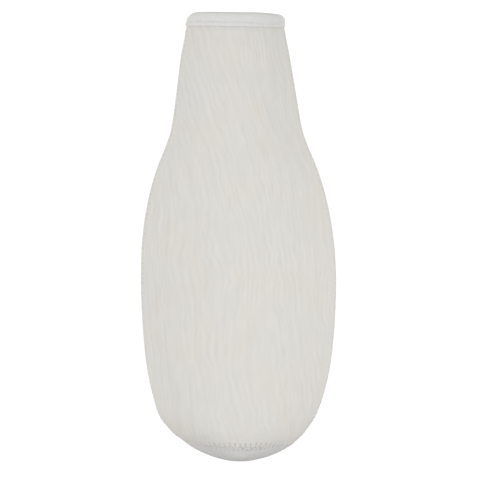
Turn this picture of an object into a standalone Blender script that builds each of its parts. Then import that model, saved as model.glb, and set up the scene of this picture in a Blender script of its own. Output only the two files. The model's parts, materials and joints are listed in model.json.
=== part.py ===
"""A zip-up bottle sleeve of 3 mm foam rubber with knitted faces, empty and standing on its base.

The front faces -Y, +Z is up, and the origin is the middle of the flat spot that the sleeve stands on. Lengths below are
in millimetres and are turned into metres when a mesh is made. The sleeve is described by its level sections: each is
part lens, part ellipse, so the body is a flattened tube with a round base. A point on it is named by

    t     the share of the half width at which it lies, -1 at the left edge and 1 at the right
    z     the height of its level
    deep  how far it lies inside the outer skin
    side  -1 on the front, 1 on the back
"""

import math

import bmesh
import bpy
from mathutils import Vector

MM = 0.001

# The cut of the cloth
HEIGHT = 200.0
WALL = 3.0  # foam with both knitted faces
SEAM_GAP = 0.15  # half the gap where two cut edges butt
EDGE_WALL = 1.57  # the wall is this much thicker where front and back meet at an acute angle

# Half width of the sleeve seen from the front, at heights above the base
HALF_WIDTH = (
    (0, 7), (1, 11), (2.2, 13.7), (4, 17.2), (6.4, 21), (9.3, 25.4), (13, 29.4), (20, 34.5), (28, 37.5),
    (38, 40), (50, 41.8), (65, 43), (80, 43.5), (92, 43.2), (104, 42), (114, 40.3), (124, 37.8), (133, 34.7),
    (141, 31.4), (147, 29.4), (154, 28.1), (165, 26.5), (180, 24.3), (192, 22.2), (200, 21.7),
)
# Half depth: straight from the neck to the base, so that the zipper is straight, then rounded under
NECK_HALF_DEPTH = 9.35
BACK_SLOPE = 0.0745
STRAIGHT_FROM = 20.0
HALF_DEPTH_LOW = ((0, 10), (1, 13.6), (2.2, 16.4), (4, 18.9), (6.4, 20.9), (9.3, 22.3), (13, 23.0))

# The base seam, a shallow curve that is lowest at the middle of the front and back
SEAM_MIDDLE_Z, SEAM_EDGE_Z = 6.45, 9.3

# Levels at which the panels are drawn
LEVELS = (12.5, 16, 20, 25, 32, 40, 50, 61, 72, 84, 95, 105, 114, 122, 130, 137, 143, 149, 156, 164, 173, 182, 188, 192.9)
HEM_LOW, PANEL_TOP = 193.7, 198.8
HEM_SQUEEZE = 0.9  # the binding presses the foam in by this much

# Neck binding
BINDING = 0.6
BINDING_GAP = 0.3
BINDING_LOW = 194.0

# Zipper, along the straight line of the back
SLOT_HALF = 4.2
SLOT_LOW, SLOT_OPEN = 16.0, 20.0
TAPE_SET_BACK = 3.55  # from the outer skin to the tape's outer face
TAPE_IN, TAPE_OUT, TAPE_THICK = 0.6, 11.6, 0.55
TAPE_LOW, TAPE_TOP = 14.0, 193.0
TAPE_END, TAPE_END_OUT = 198.6, 3.85  # the narrow end between the binding's two ends
COIL_LOW, COIL_TOP = 31.8, 190.0
SLIDER_AT, SLIDER_HALF = 184.5, 4.75
SLIDER_TRAVEL = 147.5
TAB_AXIS_OUT = 3.3
TAB_LENGTH = 17.0

COLUMNS = 22  # across the front
BACK_COLUMNS = 11  # across each half of the back

LEAN = math.atan(BACK_SLOPE)


def smooth_through(stations):
    """A curve through the stations that never overshoots them: cubic pieces with limited slopes."""
    xs, ys = [float(p[0]) for p in stations], [float(p[1]) for p in stations]
    runs = [b - a for a, b in zip(xs, xs[1:])]
    rises = [(b - a) / h for a, b, h in zip(ys, ys[1:], runs)]
    slopes = [rises[0]]
    for k in range(1, len(xs) - 1):
        before, after = rises[k - 1], rises[k]
        if before * after <= 0:
            slopes.append(0.0)
        else:
            w0, w1 = 2 * runs[k] + runs[k - 1], runs[k] + 2 * runs[k - 1]
            slopes.append((w0 + w1) / (w0 / before + w1 / after))
    slopes.append(rises[-1])

    def at(x):
        x = min(max(x, xs[0]), xs[-1])
        k = max(i for i in range(len(xs) - 1) if xs[i] <= x)
        h, s = runs[k], (x - xs[k]) / runs[k]
        return (
            ys[k] * (1 + 2 * s) * (1 - s) ** 2
            + slopes[k] * h * s * (1 - s) ** 2
            + ys[k + 1] * s * s * (3 - 2 * s)
            + slopes[k + 1] * h * s * s * (s - 1)
        )

    return at


def eased(x, low, high):
    s = min(max((x - low) / (high - low), 0.0), 1.0)
    return s * s * (3 - 2 * s)


def straight_depth(z):
    return NECK_HALF_DEPTH + (HEIGHT - z) * BACK_SLOPE


half_width = smooth_through(HALF_WIDTH)
low_depth = smooth_through(HALF_DEPTH_LOW + ((STRAIGHT_FROM, straight_depth(STRAIGHT_FROM)),))


def half_depth(z):
    return straight_depth(z) if z >= STRAIGHT_FROM else low_depth(z)


def roundness(z):
    """1 where the section is an ellipse, near the base, and 0.22 where it is almost a lens."""
    return 1 - 0.78 * eased(z, 10, 70)


def bulge(t, z):
    """The half depth at t, as a share of that in the middle."""
    t = min(abs(t), 1.0)
    a, b, m = half_width(z), half_depth(z), roundness(z)
    radius = (a * a + b * b) / (2 * b)
    lens = (math.sqrt(radius * radius - (a * t) ** 2) - (radius - b)) / b
    return (1 - m) * lens + m * math.sqrt(1 - t * t)


def tilt(t, z):
    """How far the skin faces down, in radians: 0 on the upright body, and a right angle under the base."""
    step = 0.05
    low, high = max(z - step, 0.0), z + step
    wide = (half_width(high) - half_width(low)) / (high - low)
    deep = (half_depth(high) - half_depth(low)) / (high - low)
    slope = deep + (wide - deep) * t * t
    return math.atan(max(slope, 0.0)) * (1 - eased(z, 20, 36))


def skin(t, z, deep, side, gap=SEAM_GAP):
    """A point of the wall."""
    turned = tilt(t, z)
    edge = 1 + (EDGE_WALL - 1) * (1 - roundness(z)) / 0.78
    x = (half_width(z) - edge * deep * math.cos(turned)) * t
    y = (half_depth(z) - deep * math.cos(turned)) * bulge(t, z) + gap
    return Vector((x, side * y, z + deep * math.sin(turned)))


def inner_depth_at(x, z):
    """How far out the inner face of the wall lies at x, on the upright body."""
    reach = half_width(z) - (1 + (EDGE_WALL - 1) * (1 - roundness(z)) / 0.78) * WALL
    return (half_depth(z) - WALL) * bulge(x / reach, z) + SEAM_GAP


def outer_depth_at(x, z):
    return half_depth(z) * bulge(x / half_width(z), z) + SEAM_GAP


def seam_height(t):
    return SEAM_MIDDLE_Z + (SEAM_EDGE_Z - SEAM_MIDDLE_Z) * t * t


def squeezed(z):
    """How far the outer skin is pressed in under the binding."""
    return HEM_SQUEEZE * eased(z, LEVELS[-1], HEM_LOW)


def on_zipper(u, v, w):
    """A point beside the zipper: u to the right, v up along it, w out from the face of its tape."""
    foot = straight_depth(0) - TAPE_SET_BACK
    return Vector((u, foot - v * math.sin(LEAN) + w * math.cos(LEAN), v * math.cos(LEAN) + w * math.sin(LEAN)))


# ---- objects ----


def clear_scene():
    for obj in list(bpy.data.objects):
        bpy.data.objects.remove(obj, do_unlink=True)


def material(name, colour, roughness, metallic=0.0):
    made = bpy.data.materials.new(name)
    made.use_nodes = True
    shader = made.node_tree.nodes["Principled BSDF"]
    shader.inputs["Base Color"].default_value = (*colour, 1)
    shader.inputs["Roughness"].default_value = roughness
    shader.inputs["Metallic"].default_value = metallic
    return made


def add(name, bm, look, smooth=35):
    bmesh.ops.recalc_face_normals(bm, faces=bm.faces)
    mesh = bpy.data.meshes.new(name)
    bm.to_mesh(mesh)
    bm.free()
    mesh.shade_smooth()
    mesh.set_sharp_from_angle(angle=math.radians(smooth))
    obj = bpy.data.objects.new(name, mesh)
    bpy.context.scene.collection.objects.link(obj)
    obj.data.materials.append(look)
    return obj


def loft(rings, around=False, caps="face"):
    """A skin over rings of points. around joins the last ring to the first; caps is face, strip (a ring that is a wall's two faces, one after the other) or none."""
    bm = bmesh.new()
    rows = [[bm.verts.new(p * MM) for p in ring] for ring in rings]
    count = len(rows[0])
    for k in range(len(rows) - (0 if around else 1)):
        low, high = rows[k], rows[(k + 1) % len(rows)]
        for i in range(count):
            j = (i + 1) % count
            bm.faces.new((low[i], low[j], high[j], high[i]))
    if not around:
        for row in (rows[0], rows[-1]):
            if caps == "face":
                bm.faces.new(row)
            elif caps == "strip":
                half = count // 2
                for i in range(half - 1):
                    bm.faces.new((row[i], row[i + 1], row[count - 2 - i], row[count - 1 - i]))
    return bm


def panel_levels(t):
    return [seam_height(t) + 0.2] + list(LEVELS) + [HEM_LOW, 196.2, PANEL_TOP]


def front_shares():
    return [math.sin(math.pi * (k / COLUMNS - 0.5)) for k in range(COLUMNS + 1)]


def front_panel(look):
    shares = front_shares()
    rings = []
    for row in range(len(panel_levels(0))):
        outer, inner = [], []
        for t in shares:
            z = panel_levels(t)[row]
            outer.append(skin(t, z, squeezed(z), -1))
            inner.append(skin(t, z, WALL, -1))
        rings.append(outer + inner[::-1])
    return add("front_panel", loft(rings, caps="strip"), look)


def slot_edge(z):
    return SEAM_GAP + (SLOT_HALF - SEAM_GAP) * min(max((z - SLOT_LOW) / (SLOT_OPEN - SLOT_LOW), 0.0), 1.0)


def back_point(step, z, deep, hand):
    """A point of a back half: step 0 is at the zipper and 1 at the side edge. Both faces of the cut at the zipper stand at one x."""
    reach = skin(1, z, deep, 1).x
    start = slot_edge(z) / reach
    t = start + (1 - start) * math.sin(math.pi / 2 * step)
    point = skin(t, z, deep, 1)
    point.x *= hand
    return point


def back_panel(name, hand, look):
    rings = []
    for row in range(len(panel_levels(0))):
        outer, inner = [], []
        for k in range(BACK_COLUMNS + 1):
            step = k / BACK_COLUMNS
            z = panel_levels(math.sin(math.pi / 2 * step))[row]
            outer.append(back_point(step, z, squeezed(z), hand))
            inner.append(back_point(step, z, WALL, hand))
        rings.append(outer + inner[::-1])
    return add(name, loft(rings, caps="strip"), look)


def base_panel(look, rows=6):
    """The round base: a shallow bowl between the seam and the flat spot it stands on."""
    around = 2 * COLUMNS
    turns = [2 * math.pi * k / around for k in range(around)]

    def ring(k, deep):
        points = []
        for turn in turns:
            t, side = math.sin(turn), -1 if math.cos(turn) >= 0 else 1
            z = (seam_height(t) - 0.2) * (k / rows) ** 1.5
            points.append(skin(t, z, deep, side, gap=0.0))
        return points

    rings = [ring(k, 0.0) for k in range(rows + 1)] + [ring(k, WALL) for k in range(rows, -1, -1)]
    return add("base_panel", loft(rings), look)


def neck_binding(look):
    """A folded strip over the top edge, from one side of the zipper round the front to the other."""
    inside = WALL + BINDING_GAP
    profile = (
        (0.12, BINDING_LOW), (0.0, BINDING_LOW + 0.5), (0.0, 198.6), (0.25, 199.4), (0.9, 199.9), (1.6, HEIGHT),
        (2.6, HEIGHT), (3.3, 199.8), (3.85, 199.2), (inside + BINDING, 198.4), (inside + BINDING, BINDING_LOW + 0.2),
        (inside, BINDING_LOW + 0.2), (inside, 199.1), (HEM_SQUEEZE - BINDING_GAP, 199.1), (HEM_SQUEEZE - BINDING_GAP, BINDING_LOW),
    )
    steps = [k / BACK_COLUMNS for k in range(BACK_COLUMNS + 1)]
    stations = (
        [(step, -1) for step in steps]
        + [(t, 0) for t in front_shares()]
        + [(step, 1) for step in reversed(steps)]
    )
    rings = []
    for share, hand in stations:
        points = [skin(share, z, deep, -1) if hand == 0 else back_point(share, z, deep, hand) for deep, z in profile]
        for point, (_, z) in zip(points, profile):
            point.z = z
        rings.append(points)
    return add("neck_binding", loft(rings), look)


def zipper_tape(name, hand, look):
    """One half of the tape: it lies against the inside of the back, and its end passes up between the binding's ends."""
    wide = [TAPE_IN, SLOT_HALF + 0.2, 6.6, 8.4, 10.1, TAPE_OUT]
    narrow = [TAPE_IN + (TAPE_END_OUT - TAPE_IN) * k / 5 for k in range(6)]
    levels = [(TAPE_LOW, wide)] + [(z, wide) for z in LEVELS if TAPE_LOW < z < TAPE_TOP]
    levels += [(TAPE_TOP, wide), (TAPE_TOP + 0.4, narrow), (TAPE_END, narrow)]
    rings = []
    for z, across in levels:
        line = straight_depth(z) - TAPE_SET_BACK
        face = [min(line, inner_depth_at(x, z) - 0.35) if x > SLOT_HALF + 0.3 else line for x in across]
        outer = [Vector((hand * x, y, z)) for x, y in zip(across, face)]
        inner = [Vector((hand * x, y - TAPE_THICK, z)) for x, y in zip(across, face)]
        rings.append(outer + inner[::-1])
    return add(name, loft(rings, caps="strip"), look)


def zipper_coil(name, hand, look):
    """One half of the coil, as a rounded bar."""
    section = ((0.6, 0.25), (1.7, 0.2), (2.15, 0.45), (2.2, 0.85), (1.95, 1.2), (1.5, 1.4), (0.95, 1.35), (0.6, 1.1))
    rings = [[on_zipper(hand * u, v, w) for u, w in section] for v in (COIL_LOW, (COIL_LOW + COIL_TOP) / 2, COIL_TOP)]
    return add(name, loft(rings), look)


def prism(name, outline, low, high, look, bevel=0.12):
    """A plate in the slider's own space: outline is in u and v, and it runs from low to high in w. Its local axes are X = u, Y = w, Z = v."""
    rings = [[Vector((u, w, v)) for u, v in outline] for w in (low, high)]
    obj = add(name, loft(rings), look)
    if bevel:
        soft = obj.modifiers.new("edges", "BEVEL")
        soft.width = bevel * MM
        soft.segments = 1
        soft.limit_method = "ANGLE"
        soft.angle_limit = math.radians(35)
    return obj


def box(name, u, v, w, look, bevel=0.12):
    return prism(name, ((u[0], v[0]), (u[1], v[0]), (u[1], v[1]), (u[0], v[1])), w[0], w[1], look, bevel)


def join_to(body, other, operation="UNION"):
    """Joins a helper to the body, or cuts it away, and hides the helper."""
    other.parent = body
    other.hide_render = True
    other.display_type = "WIRE"
    step = body.modifiers.new(other.name, "BOOLEAN")
    step.operation = operation
    step.solver = "EXACT"
    step.object = other


def zipper_slider(look):
    """Two plates joined by a wedge between the tapes, side lips that hold the coil, and a bridge for the pull tab."""
    n = SLIDER_HALF
    outline = (
        (-2.7, -n), (2.7, -n), (3.2, -n + 0.9), (3.3, 1.2), (3.15, n - 1.0), (2.2, n), (0.9, n - 0.35), (-0.9, n - 0.35),
        (-2.2, n), (-3.15, n - 1.0), (-3.3, 1.2), (-3.2, -n + 0.9),
    )
    body = prism("zipper_slider", outline, 1.7, 2.5, look, 0.2)
    join_to(body, prism("slider_inner_plate", outline, -1.7, -0.9, look, 0.2))
    wedge = ((-0.22, 1.4), (0.22, 1.4), (0.34, 2.6), (0.34, n - 0.7), (-0.34, n - 0.7), (-0.34, 2.6))
    join_to(body, prism("slider_wedge", wedge, -1.2, 2.1, look, 0))
    for side in (-1, 1):
        lip = sorted((side * 2.55, side * 3.18))
        join_to(body, box(f"slider_lip_{side}", lip, (-n + 1.0, 1.6), (0.4, 2.1), look, 0))
    join_to(body, box("slider_bridge_top", (-0.9, 0.9), (-2.3, 2.3), (4.0, 4.65), look, 0.15))
    join_to(body, box("slider_bridge_low", (-0.88, 0.88), (-2.28, -1.25), (2.1, 4.4), look, 0))
    join_to(body, box("slider_bridge_high", (-0.88, 0.88), (1.25, 2.28), (2.1, 4.4), look, 0))
    body.location = on_zipper(0, SLIDER_AT, 0) * MM
    body.rotation_euler = (LEAN, 0, 0)
    return body


def pull_tab(look, slider):
    """Hangs from the slider's bridge by a bar between two arms. Its origin is on the bar's axis."""
    thick = 0.45
    outer = [(-2.6, -5.2), (-2.1, 0.62), (2.1, 0.62), (2.6, -5.2)]
    ends = [(2.6, -TAB_LENGTH + 2.6)]
    ends += [(2.6 * math.cos(a), -TAB_LENGTH + 2.6 - 2.6 * math.sin(a)) for a in (math.radians(d) for d in range(15, 180, 15))]
    ends += [(-2.6, -TAB_LENGTH + 2.6)]
    tab = prism("zipper_pull_tab", outer + ends, -thick, thick, look, 0.15)
    window = ((-1.25, -0.5), (1.25, -0.5), (1.25, -3.9), (0.9, -4.3), (-0.9, -4.3), (-1.25, -3.9))
    join_to(tab, prism("tab_window", window, -1.0, 1.0, look, 0), "DIFFERENCE")
    slot = [(1.0 * math.cos(a), -TAB_LENGTH + 3.2 + 1.0 * math.sin(a)) for a in (math.radians(d) for d in range(0, 360, 30))]
    join_to(tab, prism("tab_hole", slot, -1.0, 1.0, look, 0), "DIFFERENCE")
    tab.parent = slider
    tab.location = Vector((0, TAB_AXIS_OUT, 0)) * MM
    return tab


def zipper_stop(name, u, v, w, look):
    stop = box(name, u, v, w, look, 0.18)
    stop.rotation_euler = (LEAN, 0, 0)
    stop.location = on_zipper(0, 0, 0) * MM
    return stop


def strip(name, stations, outer, inner, look, around=False):
    """A thin band: at each station the outer and inner functions give its two faces, as lists of points."""
    return add(name, loft([outer(s) + inner(s)[::-1] for s in stations], around=around, caps="strip"), look)


def side_seam_thread(name, hand, look, out=0.12, thick=0.22):
    """The zigzag stitching over a side edge, as one thin band from front to back."""
    levels = [12.5] + [z for z in LEVELS if z > 12.5]
    turns = [math.radians(a) for a in (72, 81)]

    def face(z, lift):
        front = [skin(math.sin(a), z, -lift, -1) for a in turns] + [skin(1, z, -lift, -1)]
        back = [skin(1, z, -lift, 1)] + [skin(math.sin(a), z, -lift, 1) for a in reversed(turns)]
        return [Vector((hand * p.x, p.y, p.z)) for p in front + back]

    return strip(name, levels, lambda z: face(z, out + thick), lambda z: face(z, out), look)


def base_seam_thread(look, out=0.12, thick=0.22, reach=1.6):
    """The zigzag stitching round the base seam, as one thin ring."""
    around = 2 * COLUMNS

    def face(k, lift):
        turn = 2 * math.pi * k / around
        t, side = math.sin(turn), -1 if math.cos(turn) >= 0 else 1
        return [
            skin(t, seam_height(t) + rise, -lift, side, gap=SEAM_GAP)
            for rise in (-0.7 * reach, -0.2, 0.2, reach)
        ]

    return strip("base_seam_thread", range(around), lambda k: face(k, out + thick), lambda k: face(k, out), look, around=True)


def binding_thread(look, out=0.12, thick=0.22):
    """The row of lockstitch near the binding's lower edge."""
    steps = [k / BACK_COLUMNS for k in range(BACK_COLUMNS + 1)]
    stations = [(s, -1) for s in steps] + [(t, 0) for t in front_shares()] + [(s, 1) for s in reversed(steps)]

    def face(station, lift):
        share, hand = station
        points = []
        for z in (195.2, 196.0):
            p = skin(share, z, -lift, -1) if hand == 0 else back_point(share, z, -lift, hand)
            points.append(Vector((p.x, p.y, z)))
        return points

    return strip("binding_thread", stations, lambda s: face(s, out + thick), lambda s: face(s, out), look)


def zipper_topstitch(name, hand, look, out=0.12, thick=0.22):
    levels = [z for z in LEVELS if z >= SLOT_OPEN]

    def face(z, lift):
        return [Vector((hand * x, outer_depth_at(x, z) + lift, z)) for x in (6.0, 6.8)]

    return strip(name, levels, lambda z: face(z, out + thick), lambda z: face(z, out), look)


def back_seam_thread(look, out=0.12, thick=0.22):
    """The short zigzag seam that closes the back under the zipper."""

    def face(z, lift):
        return [Vector((x, outer_depth_at(x, z) + lift, z)) for x in (-1.6, -0.6, 0.6, 1.6)]

    return strip("back_seam_thread", (9.4, 12.5, 15.4), lambda z: face(z, out + thick), lambda z: face(z, out), look)


def build():
    clear_scene()
    knit = (0.72, 0.69, 0.65)
    looks = {
        "front_panel": material("front knit", knit, 0.95),
        "back_panel_left": material("left back knit", knit, 0.95),
        "back_panel_right": material("right back knit", knit, 0.95),
        "base_panel": material("base knit", (0.62, 0.6, 0.57), 0.95),
        "neck_binding": material("binding cloth", (0.75, 0.74, 0.72), 0.9),
        "tape_left": material("left zipper tape", (0.74, 0.73, 0.7), 0.85),
        "tape_right": material("right zipper tape", (0.74, 0.73, 0.7), 0.85),
        "coil_left": material("left nylon coil", (0.8, 0.79, 0.76), 0.4),
        "coil_right": material("right nylon coil", (0.8, 0.79, 0.76), 0.4),
        "slider": material("slider nickel", (0.75, 0.74, 0.72), 0.28, 1.0),
        "tab": material("pull tab nickel", (0.75, 0.74, 0.72), 0.28, 1.0),
        "stop": material("stop nickel", (0.75, 0.74, 0.72), 0.32, 1.0),
        "thread": material("seam thread", (0.8, 0.79, 0.77), 0.7),
        "stitch": material("lockstitch thread", (0.6, 0.59, 0.57), 0.7),
    }
    front_panel(looks["front_panel"])
    back_panel("back_panel_left", -1, looks["back_panel_left"])
    back_panel("back_panel_right", 1, looks["back_panel_right"])
    base_panel(looks["base_panel"])
    neck_binding(looks["neck_binding"])
    zipper_tape("zipper_tape_left", -1, looks["tape_left"])
    zipper_tape("zipper_tape_right", 1, looks["tape_right"])
    zipper_coil("zipper_coil_left", -1, looks["coil_left"])
    zipper_coil("zipper_coil_right", 1, looks["coil_right"])
    slider = zipper_slider(looks["slider"])
    pull_tab(looks["tab"], slider)
    zipper_stop("zipper_top_stop_left", (-2.2, -0.6), (190.3, 192.2), (0.25, 1.5), looks["stop"])
    zipper_stop("zipper_top_stop_right", (0.6, 2.2), (190.3, 192.2), (0.25, 1.5), looks["stop"])
    zipper_stop("zipper_bottom_stop", (-2.4, 2.4), (28.6, 31.5), (0.25, 1.6), looks["stop"])
    side_seam_thread("side_seam_thread_left", -1, looks["thread"])
    side_seam_thread("side_seam_thread_right", 1, looks["thread"])
    base_seam_thread(looks["thread"])
    back_seam_thread(looks["thread"])
    binding_thread(looks["stitch"])
    zipper_topstitch("zipper_topstitch_left", -1, looks["stitch"])
    zipper_topstitch("zipper_topstitch_right", 1, looks["stitch"])


build()
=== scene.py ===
"""The looks of a zip-up bottle sleeve: knitted cloth over foam rubber, sewn seams, a bound neck and a zipper down the back.

The front faces -Y and +Z is up. Lengths are in millimetres until a mesh is made. A point of the cloth is named by

    q     the share of the half girth at which it lies, measured along the cloth: 0 in the middle, -1 and 1 at the side edges
    z     the height of its level
    side  -1 on the front, 1 on the back
"""

import json
import math

import bmesh
import bpy
import numpy as np
from mathutils import Matrix, Vector

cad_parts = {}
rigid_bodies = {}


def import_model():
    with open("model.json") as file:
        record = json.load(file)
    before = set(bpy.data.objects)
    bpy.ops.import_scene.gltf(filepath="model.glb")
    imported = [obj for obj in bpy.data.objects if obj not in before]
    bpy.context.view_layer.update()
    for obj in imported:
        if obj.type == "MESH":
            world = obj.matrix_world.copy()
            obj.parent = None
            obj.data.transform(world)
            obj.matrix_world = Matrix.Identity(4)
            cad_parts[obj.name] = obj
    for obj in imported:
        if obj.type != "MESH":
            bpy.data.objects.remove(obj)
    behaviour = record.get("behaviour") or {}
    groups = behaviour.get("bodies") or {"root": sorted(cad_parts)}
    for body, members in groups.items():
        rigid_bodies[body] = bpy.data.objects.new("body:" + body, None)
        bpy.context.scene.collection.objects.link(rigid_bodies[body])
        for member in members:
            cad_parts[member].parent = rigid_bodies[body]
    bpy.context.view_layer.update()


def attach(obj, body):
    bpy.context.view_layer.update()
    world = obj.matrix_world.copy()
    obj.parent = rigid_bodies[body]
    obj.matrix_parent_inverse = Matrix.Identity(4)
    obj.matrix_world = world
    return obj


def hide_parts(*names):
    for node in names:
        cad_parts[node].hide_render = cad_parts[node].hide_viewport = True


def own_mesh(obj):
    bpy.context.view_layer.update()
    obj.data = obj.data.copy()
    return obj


for left_over in list(bpy.data.objects):
    bpy.data.objects.remove(left_over, do_unlink=True)
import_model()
SCENE = bpy.context.scene

MM = 0.001

# ---- the cut of the cloth, as in the solid model ----

HEIGHT = 200.0
WALL = 3.0
SEAM_GAP = 0.15
TOUCH = 0.004  # half the gap between edges that are sewn together
EDGE_WALL = 1.57
HALF_WIDTH = (
    (0, 3.3), (0.22, 5.0), (1.11, 9.35), (2, 12.35), (2.9, 14.7), (3.8, 16.8), (4.7, 18.6), (5.6, 20.3), (7.3, 23.0), (9.1, 25.3),
    (10.9, 27.55), (13, 29.5), (20, 34.6), (28, 37.5),
    (38, 40), (50, 41.8), (65, 43), (80, 43.5), (92, 43.2), (104, 42), (114, 40.3), (124, 37.8), (133, 34.7),
    (141, 31.4), (147, 29.4), (154, 28.1), (165, 26.5), (180, 24.3), (192, 22.2), (200, 21.7),
)
NECK_HALF_DEPTH = 9.35
BACK_SLOPE = 0.0745
STRAIGHT_FROM = 20.0
HALF_DEPTH_LOW = (
    (0, 9.6), (0.15, 12.4), (0.6, 15.4), (1.11, 16.7), (2, 18.0), (2.9, 18.95), (4, 19.9), (4.9, 20.6), (5.6, 21.08), (6.4, 21.48),
    (7.4, 21.85), (9.3, 22.4), (13, 23.05),
)
SEAM_MIDDLE_Z, SEAM_EDGE_Z = 6.15, 7.9
PANEL_TOP = 198.6
SLOT_HALF = 4.2
SLOT_LOW, SLOT_OPEN = 16.0, 20.0
TAPE_SET_BACK = 3.55
TAPE_IN, TAPE_OUT, TAPE_THICK = 0.6, 11.6, 0.55
TAPE_LOW, TAPE_TOP = 14.0, 193.0
TAPE_END, TAPE_END_OUT = 198.6, 3.85
COIL_LOW, COIL_TOP = 31.8, 190.0
SLIDER_AT, SLIDER_HALF = 184.5, 4.75
TAB_AXIS_OUT = 3.3
TAB_LENGTH = 17.0
LEAN = math.atan(BACK_SLOPE)

# ---- the finish of the sewing ----

BASE_STITCHES = 62  # zigzags round the base seam
SIDE_PITCH = 2.2  # of the zigzag up the side edges
ZIGZAG = 1.62  # from a seam to its needle holes
BASE_ZIGZAG = 1.64
LOCK_PITCH = 2.9  # of the row in the binding
TOP_PITCH = 2.6  # of the rows beside the zipper
TOP_ROW = 6.4
THREAD = 0.13  # radius
TOOTH = 1.15  # the coil's pitch

# The empty sleeve stands a little askew: how far its middle line is from upright, at heights above the base
ASKEW = (
    (0, 0.85), (4, 1.0), (7, 1.0), (9.5, 0.75), (13, 0.2), (20, -0.2), (28, 0.0), (42, 0.2), (58, 0.27), (80, 0.25),
    (98, 0.0), (116, -0.26), (130, -0.42), (145, -0.55), (159, -0.74), (170, -0.98), (182, -1.2), (194, -1.2), (200, -0.95),
)


def smooth_through(stations):
    """A curve through the stations that never overshoots them: cubic pieces with limited slopes."""
    xs, ys = np.array(stations, float).T
    runs = np.diff(xs)
    rises = np.diff(ys) / runs
    slopes = [rises[0]]
    for k in range(1, len(xs) - 1):
        before, after = rises[k - 1], rises[k]
        if before * after <= 0:
            slopes.append(0.0)
        else:
            w0, w1 = 2 * runs[k] + runs[k - 1], runs[k] + 2 * runs[k - 1]
            slopes.append((w0 + w1) / (w0 / before + w1 / after))
    slopes = np.array(slopes + [rises[-1]])

    def at(x):
        x = np.clip(x, xs[0], xs[-1])
        k = np.clip(np.searchsorted(xs, x, side="right") - 1, 0, len(runs) - 1)
        h = runs[k]
        s = (x - xs[k]) / h
        return (
            ys[k] * (1 + 2 * s) * (1 - s) ** 2
            + slopes[k] * h * s * (1 - s) ** 2
            + ys[k + 1] * s * s * (3 - 2 * s)
            + slopes[k + 1] * h * s * s * (s - 1)
        )

    return at


def eased(x, low, high):
    s = np.clip((np.asarray(x, float) - low) / (high - low), 0.0, 1.0)
    return s * s * (3 - 2 * s)


def straight_depth(z):
    return NECK_HALF_DEPTH + (HEIGHT - z) * BACK_SLOPE


half_width = smooth_through(HALF_WIDTH)
low_depth = smooth_through(HALF_DEPTH_LOW + ((STRAIGHT_FROM, straight_depth(STRAIGHT_FROM)),))
askew = smooth_through(ASKEW)


def half_depth(z):
    return np.where(np.asarray(z) >= STRAIGHT_FROM, straight_depth(z), low_depth(z))


def roundness(z):
    return 1 - 0.78 * eased(z, 10, 70)


def bulge(t, z):
    t = np.clip(np.abs(t), 0.0, 1.0)
    a, b, m = half_width(z), half_depth(z), roundness(z)
    radius = (a * a + b * b) / (2 * b)
    lens = (np.sqrt(radius * radius - (a * t) ** 2) - (radius - b)) / b
    return (1 - m) * lens + m * np.sqrt(np.clip(1 - t * t, 0, 1))


def tilt(t, z):
    step = 0.05
    low, high = np.maximum(z - step, 0.0), z + step
    wide = (half_width(high) - half_width(low)) / (high - low)
    deep = (half_depth(high) - half_depth(low)) / (high - low)
    slope = deep + (wide - deep) * t * t
    return np.arctan(np.maximum(slope, 0.0)) * (1 - eased(z, 20, 36))


def skin(t, z, deep, side, gap=SEAM_GAP):
    """Points of the wall at a depth under its outer face, as the solid model has them."""
    t, z, deep = np.broadcast_arrays(np.asarray(t, float), np.asarray(z, float), np.asarray(deep, float))
    turned = tilt(t, z)
    edge = 1 + (EDGE_WALL - 1) * (1 - roundness(z)) / 0.78
    x = (half_width(z) - edge * deep * np.cos(turned)) * t
    y = (half_depth(z) - deep * np.cos(turned)) * bulge(t, z) + gap
    return np.stack([x, side * y, z + deep * np.sin(turned)], -1)


def inner_depth_at(x, z):
    reach = half_width(z) - (1 + (EDGE_WALL - 1) * (1 - roundness(z)) / 0.78) * WALL
    return (half_depth(z) - WALL) * bulge(x / reach, z) + SEAM_GAP


def seam_height(t):
    return SEAM_MIDDLE_Z + (SEAM_EDGE_Z - SEAM_MIDDLE_Z) * t * t


def slot_edge(z):
    return TOUCH + (SLOT_HALF - TOUCH) * np.clip((z - SLOT_LOW) / (SLOT_OPEN - SLOT_LOW), 0.0, 1.0)


def on_zipper(u, v, w):
    """Points beside the zipper: u to the right, v up along it, w out from the face of its tape."""
    foot = straight_depth(0) - TAPE_SET_BACK
    u, v, w = np.broadcast_arrays(np.asarray(u, float), np.asarray(v, float), np.asarray(w, float))
    return np.stack([u, foot - v * math.sin(LEAN) + w * math.cos(LEAN), v * math.cos(LEAN) + w * math.sin(LEAN)], -1)


# ---- even steps along the cloth ----

LEVEL_TABLE = np.linspace(0, HEIGHT, 401)
SHARE_TABLE = np.linspace(0, 1, 257)


def measure_levels():
    """The half girth at each level, and the turn at which each share of it lies."""
    turns = np.linspace(0, math.pi / 2, 900)
    lengths, table = [], []
    for z in LEVEL_TABLE:
        t = np.sin(turns)
        line = np.stack([half_width(z) * t, half_depth(z) * bulge(t, z)], -1)
        run = np.concatenate([[0], np.cumsum(np.linalg.norm(np.diff(line, axis=0), axis=1))])
        lengths.append(run[-1])
        table.append(np.interp(SHARE_TABLE * run[-1], run, turns))
    return np.array(lengths), np.array(table)


HALF_GIRTH, TURN_TABLE = measure_levels()


def half_girth(z):
    return np.interp(z, LEVEL_TABLE, HALF_GIRTH)


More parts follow.
